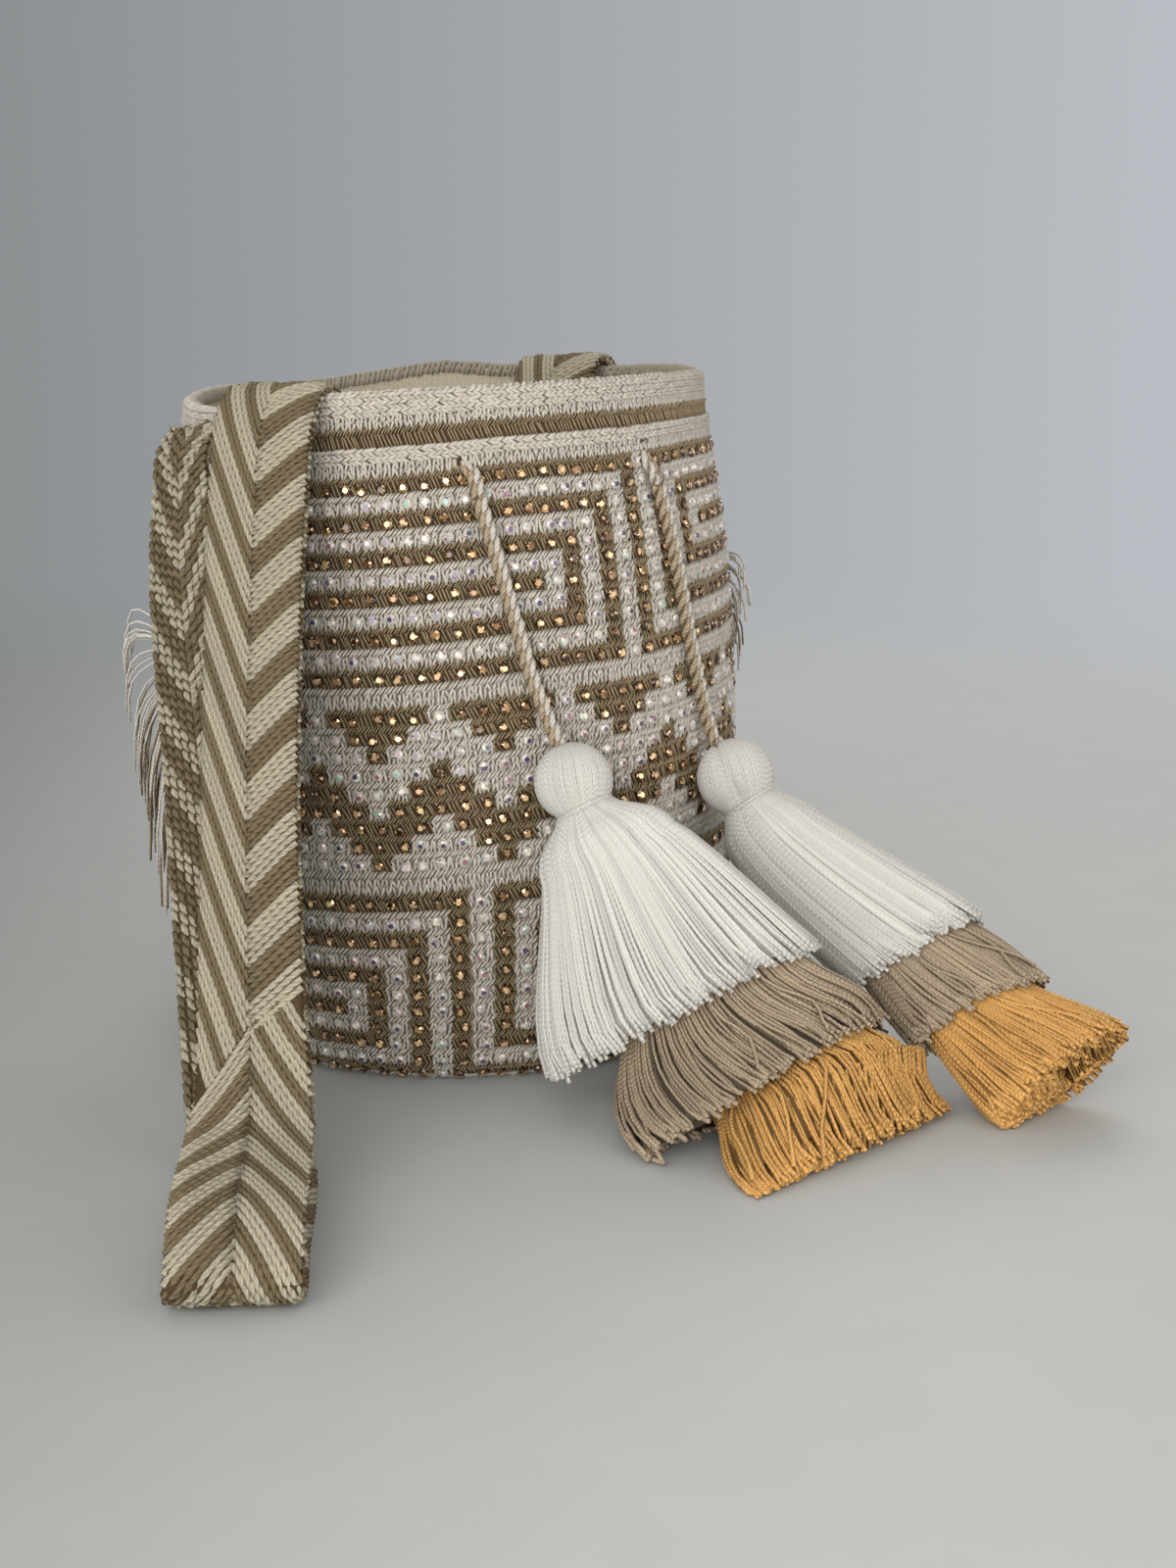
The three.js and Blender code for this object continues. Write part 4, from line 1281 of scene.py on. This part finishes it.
def add_threads(piece, tassel, tier, count, start, scale, ragged, wander, steps=9, radius=THREAD_RADIUS):
    """Hanging threads round a tassel: they gather into soft locks, wander a little and end raggedly."""
    base = 2 * np.pi * (np.arange(count) + random.uniform(-0.3, 0.3, count)) / count
    share = np.linspace(0, 1, steps)
    hem = hem_share(tassel, tier, base) + random.uniform(-ragged, ragged * 0.5, count)
    hem = hem + 0.3 * ragged * waves(base, (5, 8, 13))
    shares = start + (hem[:, None] - start) * share
    drift = 0.7 * waves(base, (5, 8, 13)) + 0.45 * waves(base, (19, 29, 37)) + random.normal(0, 0.18, count)
    swings = random.uniform(0.8, 1.6, (count, 1)) * share + random.uniform(0, 1, (count, 1))
    sway = np.sin(2 * np.pi * swings)
    turns = base[:, None] + wander * (drift[:, None] * share**1.4 + 0.25 * sway * share)
    locks = 0.024 * waves(base, (9, 14, 23, 31))[:, None] * np.sqrt(share)
    locks = 1 + locks + random.normal(0, 0.011, (count, 1)) * np.sqrt(share)
    paths = section_points(tassel, shares, turns, scale(share) * locks)
    paths = settled(tassel, tier, shares, share, paths)
    paths[:, -1] += random.normal(0, 0.5, (count, 3))
    paths[..., 2] = np.maximum(paths[..., 2], radius + FLOOR_CLEARANCE)
    ups = section_outwards(tassel, shares, turns)
    ups[..., 2] += 1.5 * lying(tassel, tier, shares)
    widths = radius * shades(count, 0.12)[:, None]
    add_tubes(piece, paths, widths, ups, 4, 0, shades(count, 0.13), unshaded_tips=True)


def add_core(piece, tassel, tier, start, inset, scale, tint):
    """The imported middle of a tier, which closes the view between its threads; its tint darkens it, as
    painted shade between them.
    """
    turn = 2 * np.pi * np.arange(CORE_SIDES) / CORE_SIDES
    ends = hem_share(tassel, tier, turn) - inset
    rings = []
    for share in np.linspace(0, 1, 9):
        shares = mix(start, ends, share)
        ring = section_points(tassel, shares, turn, np.full(CORE_SIDES, scale(share)))
        rings.append(settled(tassel, tier, shares, np.full(CORE_SIDES, share), ring))
    add_loft(piece, rings, 0, tint)


def head_point(tassel, pole, turn, radius):
    centre, along, line, out, _, _ = tassel_frame(tassel, np.zeros(1))
    level = np.cos(turn)[..., None] * line[0] + np.sin(turn)[..., None] * out[0]
    from_crease = (turn - np.pi / 2 + np.pi) % (2 * np.pi) - np.pi
    radius = radius * (1 - tassel["crease"] * np.exp(-((from_crease / 0.2) ** 2)))
    up = (radius * np.cos(pole))[..., None] * along[0]
    return centre[0] - up + (radius * np.sin(pole))[..., None] * level


def flare(low, high):
    """A tier starts narrow inside the one above it and widens to its hem."""
    return lambda share: mix(low, high, share * share * (3 - 2 * share))


def shoulder(tassel, size):
    """The top tier rounds out under the neck."""
    swell = tassel["swell"]
    return lambda share: size * (1 + swell * np.sin(np.pi * np.minimum(1, share / SHOULDER_END)) ** 2)


def even(size):
    return lambda share: size + 0 * share


def build_head(side, tassel):
    """The head: threads wound down over a ball, and its end at the neck."""
    radius = tassel["radius"]
    head = Piece()
    count, steps = HEAD_THREADS, 11
    turn = 2 * np.pi * (np.arange(count) + random.uniform(-0.15, 0.15, count)) / count
    pole = np.radians(np.linspace(9, 133, steps))
    turns = turn[:, None] + np.linspace(0, 0.5, steps)
    wound = head_point(tassel, np.broadcast_to(pole, (count, steps)), turns, radius - 0.5)
    neck = section_points(tassel, np.full((count, 1), NECK), turns[:, -1:], np.full((count, 1), 0.93))
    paths = np.concatenate([wound, neck], 1)
    centre = tassel_frame(tassel, np.zeros(1))[0][0]
    widths = HEAD_THREAD_RADIUS * shades(count, 0.1)[:, None]
    add_tubes(head, paths, widths, paths - centre, 4, 0, shades(count, 0.04))
    around = 2 * np.pi * np.arange(CORE_SIDES) / CORE_SIDES
    ball = []
    for pole in np.radians([4, 24, 52, 80, 108, 130]):
        ball.append(head_point(tassel, np.full(CORE_SIDES, pole), around, radius - 0.7))
    ball.append(section_points(tassel, np.full(CORE_SIDES, NECK), around, np.full(CORE_SIDES, 0.88)))
    # The ball a little darker than its threads: painted shade under them.
    add_loft(head, ball, 0, 0.95)
    return head.build(f"tassel_{side}_head", [white_thread], "tassel_white", [f"tassel_{side}_white"])


def build_tier(side, tassel, tier, top, material):
    """A lower tier, which starts inside the one above it."""
    piece = Piece()
    low = tassel["tier_start"]
    for count, wider, size, ragged, wander in TIER_THREADS[tier]:
        add_threads(piece, tassel, tier, count, top, flare(low + wider, size), ragged, wander)
    if tier == "gold":
        for count, scale in tassel["ends"]:
            add_threads(piece, tassel, tier, count, TAUPE_HEM + 0.1, even(scale), 0.02, 0.05, 4)
    inset, size = TIER_CORES[tier]
    # The core is tinted near black: painted shade between the threads.
    add_core(piece, tassel, tier, top, inset, flare(low - 0.08, size), 0.15)
    piece.build(f"tassel_{side}_{tier}_skirt", [material], f"tassel_{tier}", [f"tassel_{side}_{tier}"])


def build_tassel(side, tassel):
    head = build_head(side, tassel)
    white = Piece()
    add_threads(white, tassel, "white", 240, NECK - 0.01, shoulder(tassel, 0.985), 0.012, 0.03, 12)
    add_threads(white, tassel, "white", 110, WHITE_HEM - 0.12, even(0.9), 0.014, 0.02, 4)
    # The white core a little darker: painted shade between the threads.
    add_core(white, tassel, "white", NECK, 0.014, shoulder(tassel, 0.94), 0.85)
    white.build(f"tassel_{side}_white_skirt", [white_thread], "tassel_white", [f"tassel_{side}_white"])
    build_tier(side, tassel, "taupe", WHITE_HEM - TIER_LAP, taupe_thread)
    build_tier(side, tassel, "gold", TAUPE_HEM - TIER_LAP, gold_thread)

    tie = Piece()
    turns = np.linspace(0, TIE_TURNS * 2 * np.pi, TIE_STEPS)
    centre, along, line, out, half_width, _ = tassel_frame(tassel, np.full(1, NECK))
    reach = half_width[0] + SEAT_GAP + TIE_RADIUS
    level = np.cos(turns)[:, None] * line[0] + np.sin(turns)[:, None] * out[0]
    coil = centre[0] + reach * level + along[0] * (np.linspace(-0.7, 0.1, TIE_STEPS)[:, None])
    add_tubes(tie, coil[None], TIE_RADIUS, level[None], 6, 0)
    tie.build(f"tassel_{side}_neck_tie", [white_thread], "tassel_tie", [f"tassel_{side}_tie"])
    return head


# Strap
def station_point(row):
    if row[0] == "wall":
        return level_wall(*row[1:4])
    return np.array(row[1:4], float)


strap_centres = smooth_curve([station_point(row) for row in STRAP_STATIONS])
strap_widths = smooth_curve(width_lines([row[4:6] for row in STRAP_STATIONS]))
STRAP_SHARES = np.linspace(0, 1, 4000)
strap_line = strap_centres(STRAP_SHARES)
strap_run = lengths(strap_line)
STRAP_LENGTH = strap_run[-1]
strap_along = tangent(strap_centres, STRAP_SHARES)
strap_across = strap_widths(STRAP_SHARES)
strap_across = unit(strap_across - np.sum(strap_across * strap_along, 1, keepdims=True) * strap_along)
strap_normal = np.cross(strap_along, strap_across)


def along_strap(table, run):
    return np.stack([np.interp(run, strap_run, table[:, k]) for k in range(3)], -1)


def strap_point(run, width, depth):
    """A point on the strap: distance along it, across it, and out from its middle layer."""
    run = np.clip(run, 0, STRAP_LENGTH)
    across = unit(along_strap(strap_across, run))
    normal = unit(along_strap(strap_normal, run))
    sideways = np.asarray(width)[..., None] * across
    return along_strap(strap_line, run) + sideways + np.asarray(depth)[..., None] * normal


def strap_normal_at(run):
    return unit(along_strap(strap_normal, np.clip(run, 0, STRAP_LENGTH)))


def braid_turn():
    """Where the braid turns round: on the front run, at the stated height."""
    middle = (strap_run > 0.4 * STRAP_LENGTH) & (strap_run < 0.75 * STRAP_LENGTH)
    height = np.abs(strap_line[:, 2] - BRAID_TURN_HEIGHT)
    back = strap_along[:, 2] < 0.2
    return strap_run[np.argmin(np.where(middle & ~back, height, 1e9))]


def add_braid(piece, cords, first, last, meets=None):
    """Slanting cords over half of the strap's front face, from its middle line to its edge.

    Where another set of cords meets these at the braid's turn, each begins on the line between the two.
    """
    half, rise, repeat, count, radius = cords
    gap = repeat / count
    starts = np.arange(np.floor(first / gap), np.ceil(last / gap)) * gap
    tan = (np.round(starts / gap).astype(int) % count) * 2 >= count
    begin = np.zeros(len(starts))
    if meets is not None:
        place, other_rise = meets
        begin = np.maximum(0, (starts - place) / (other_rise - rise))
    keep = begin < 0.47 * STRAP_WIDTH
    starts, begin, tan = starts[keep], begin[keep, None], tan[keep]
    edge = STRAP_WIDTH / 2 - 0.2
    width = begin + (edge - begin) * np.linspace(0, 1, 9 if abs(rise) > 1.5 else 6)
    run = starts[:, None] + rise * width
    inside = (run.min(1) > 1.0) & (run.max(1) < STRAP_LENGTH - 1.0)
    width, run, tan = width[inside], run[inside], tan[inside]
    depth = -(STRAP_THICKNESS / 2 - 0.25) * np.sqrt(np.clip(1 - (width / (edge + 0.15)) ** 8, 0, 1))
    depth = depth + 0.5 * np.exp(-((width / 1.2) ** 2))
    paths = strap_point(run, half * width, depth)
    paths[..., 2] = np.maximum(paths[..., 2], radius)
    widths = radius * shades(len(paths), 0.08)[:, None]
    add_tubes(piece, paths, widths, -strap_normal_at(run), 5, tan.astype(int), shades(len(paths), 0.07))


def build_strap():
    band = Piece()
    half = STRAP_WIDTH / 2 - 0.5
    edge = STRAP_THICKNESS / 2 - 0.5
    corner = half - edge
    section = [(-half, 0), (-corner, -edge), (corner, -edge), (half, 0), (corner, edge), (-corner, edge)]
    runs = np.linspace(0, STRAP_LENGTH, 300)
    level = np.ones(300)
    rings = np.stack([strap_point(runs, across * level, out * level) for across, out in section], 1)
    add_loft(band, rings, 0)
    # The band under the braid's cords wears the dark tan ground: painted shade between the cords.
    band = band.build("strap_band", [tan_ground_painted_shade], "strap_weave", ["strap"])

    turn = braid_turn()
    front = Piece()
    reach = STRAP_WIDTH / 2
    right_above, left_above = BRAID_ABOVE
    right_below, left_below = BRAID_BELOW
    add_braid(front, right_above, turn, STRAP_LENGTH)
    add_braid(front, right_below, 0, turn - right_below[1] * reach, (turn, right_above[1]))
    add_braid(front, left_below, 0, turn)
    add_braid(front, left_above, turn - left_above[1] * reach, STRAP_LENGTH, (turn, left_below[1]))
    front = front.build("strap_face_braid", [cream_band, tan_band], "strap_weave", ["strap"])

    back = Piece()
    rows = int(STRAP_LENGTH / BACK_PITCH)
    column, row = np.meshgrid(np.arange(BACK_COLUMNS), np.arange(rows))
    column, row = column.ravel(), row.ravel()
    width = (column - (BACK_COLUMNS - 1) / 2) * (STRAP_WIDTH - 2.6) / (BACK_COLUMNS - 1)
    centre_run = 4 + (row + 0.5 * (column % 2)) * (STRAP_LENGTH - 10) / rows
    way = np.where(width < 0, 1, -1)
    run = centre_run[:, None] + STRAND * 4.6
    across = width[:, None] + (way[:, None] * STRAND) * 3.0
    depth = STRAP_THICKNESS / 2 - 0.5 + np.array([-0.45, 0.25, -0.45])
    paths = strap_point(run, across, np.broadcast_to(depth, run.shape))
    paths[..., 2] = np.maximum(paths[..., 2], 1.0)
    tan = np.floor((centre_run + np.abs(width) * 1.37) / (BACK_REPEAT / 2)).astype(int) % 2
    widths = np.array([0.85, 1.45, 0.85]) * shades(len(paths), 0.1)[:, None]
    add_tubes(back, paths, widths, strap_normal_at(run), 4, tan, shades(len(paths), 0.1))
    back = back.build("strap_back_braid", [cream_band, tan_band], "strap_weave", ["strap"])


def build_fringe(side, run, outward, locks):
    """Loose warp threads in locks off a sewn end of the strap."""
    fringe = Piece()
    end_point = along_strap(strap_line, np.array(run))
    along = outward * unit(along_strap(strap_along, np.array(run)))
    across = unit(along_strap(strap_across, np.array(run)))
    bar = end_point + along * (0.5 * FRINGE_BAR + SEAT_GAP)
    share = np.linspace(0, 1, 10)[None, :, None]
    count = FRINGE_THREADS
    for place, angle, height, offset in locks:
        root = bar + across * place * STRAP_WIDTH
        tip = level_wall(angle, height, offset)
        reach = np.linalg.norm(tip - root)
        roots = root + across * random.uniform(-2.6, 2.6, (count, 1)) - along * 2.0
        radial = unit(tip * [1, 1, 0])
        sideways = np.cross(radial, [0, 0, 1.0])
        ends = tip + sideways * random.normal(0, 4.0, (count, 1))
        ends = ends + radial * np.abs(random.normal(0, 2.0, (count, 1)))
        ends[:, 2] += random.normal(0, 8.0, count)
        leave = roots + along * 0.25 * reach
        hang = ends + np.array([0, 0, 0.5 * reach]) + radial * np.abs(random.normal(0, 2.5, (count, 1)))
        paths = (
            roots[:, None] * (1 - share) ** 3
            + 3 * leave[:, None] * share * (1 - share) ** 2
            + 3 * hang[:, None] * share**2 * (1 - share)
            + ends[:, None] * share**3
        )
        colours = (random.uniform(0, 1, count) < 0.25).astype(int)
        widths = FRINGE_RADIUS * shades(count, 0.12)[:, None]
        add_tubes(fringe, paths, widths, paths * [1, 1, 0], 4, colours, shades(count, 0.1))
    wraps = 24
    ends = bar + np.linspace(-0.5, 0.5, wraps)[:, None] * (STRAP_WIDTH - 2) * across
    loops = np.stack([ends - along * 1.9, ends, ends + along * 1.9], 1)
    normal = np.broadcast_to(np.cross(along, across), loops.shape)
    add_tubes(fringe, loops, np.array([0.9, 1.3, 0.9]), normal, 5, np.arange(wraps) // 3 % 2)
    fringe.build(f"strap_{side}_fringe", [white_fringe, tan_cord], "strap_fringe", [f"strap_fringe_{side}"])


# Stage
def floor_material():
    """Pale, with painted shade towards the left, and fading into the backdrop with distance."""
    material, tree, shader = new_material("floor", Roughness=0.6)
    noise = object_noise(tree, Scale=30.0, Detail=3.0)
    where = noise.node.inputs["Vector"].links[0].from_socket
    pale = ramp(tree, noise, (0.0, linear(181, 182, 178)), (1.0, linear(187, 188, 184)))
    sideways = node(tree, "SeparateXYZ", "X", Vector=where)
    # Painted shade: the floor's colour falls off towards the left, as the light does.
    painted_shade_left = remap(tree, sideways, "SMOOTHSTEP", From_Min=-0.4, From_Max=0.05, To_Min=0.48)
    feed(shader["Base Color"], blend(tree, pale, painted_shade_left))
    distance = node(tree, "VectorMath", "Value", [("operation", "LENGTH")])
    feed(distance.node.inputs[0], where)
    fade = remap(tree, distance, "SMOOTHSTEP", From_Min=0.35, From_Max=1.5, To_Min=1.0, To_Max=0.0)
    feed(shader["Alpha"], fade)
    return material


def studio_world():
    """Soft light from all round, brighter from above, and a backdrop with painted light that brightens it
    to the right.
    """
    world = bpy.data.worlds.new("studio")
    world.use_nodes = True
    tree = world.node_tree
    tree.nodes.clear()
    where = node(tree, "TexCoord", "Generated")
    sideways = node(tree, "SeparateXYZ", "X", Vector=where)
    height = remap(tree, sideways.node.outputs["Z"], From_Min=-1.0)
    room = ramp(tree, height, (0.35, (0.48, 0.48, 0.485, 1)), (0.95, (0.58, 0.58, 0.58, 1)))
    # The backdrop as the camera sees it: painted light, brighter to the right.
    across = remap(tree, sideways, From_Min=-1.0)
    backdrop = ramp(tree, across, (0.4, linear(138, 142, 143)), (0.66, linear(188, 191, 197)))
    seen = node(tree, "LightPath", "Is Camera Ray")
    shown = blend(tree, room, backdrop, seen, "MIX")
    light = node(tree, "Background", "Background", Color=shown, Strength=1.0)
    feed(tree.nodes.new("ShaderNodeOutputWorld").inputs["Surface"], light)
    return world


def place(name, data):
    made = bpy.data.objects.new(name, data)
    bpy.context.collection.objects.link(made)
    return made


def build_stage():
    scene = bpy.context.scene
    lens = bpy.data.cameras.new("camera")
    lens.lens = CAMERA_LENS
    lens.clip_start = 0.01
    scene.camera = place("camera", lens)
    scene.camera.location = CAMERA_AT
    scene.camera.rotation_euler = np.radians(CAMERA_TURN)

    turn = 2 * np.pi * np.arange(FLOOR_SIDES) / FLOOR_SIDES
    rim = np.stack([np.cos(turn), np.sin(turn), np.zeros(FLOOR_SIDES)], 1) * FLOOR_RADIUS
    mesh = bpy.data.meshes.new("floor")
    mesh.from_pydata([tuple(point) for point in rim], [], [tuple(range(FLOOR_SIDES))])
    mesh.materials.append(floor_material())
    floor = place("floor", mesh)
    floor.location = (0, 0, FLOOR_LEVEL)
    scene.world = studio_world()
    for name, at, size, power in LIGHTS:
        lamp = bpy.data.lights.new(name, "AREA")
        lamp.size = size
        lamp.energy = power
        holder = place(name, lamp)
        holder.location = at
        holder.rotation_euler = (Vector(LIGHTS_AIM) - Vector(at)).to_track_quat("-Z", "Y").to_euler()
    scene.view_settings.view_transform = "Standard"


build_stage()
tassel_heads = {side: build_tassel(side, tassel) for side, tassel in TASSELS.items()}
build_cords()
build_wall()
build_strap()
build_fringe("left", 0.0, -1, FRINGE_LEFT)
build_fringe("right", STRAP_LENGTH, 1, FRINGE_RIGHT)
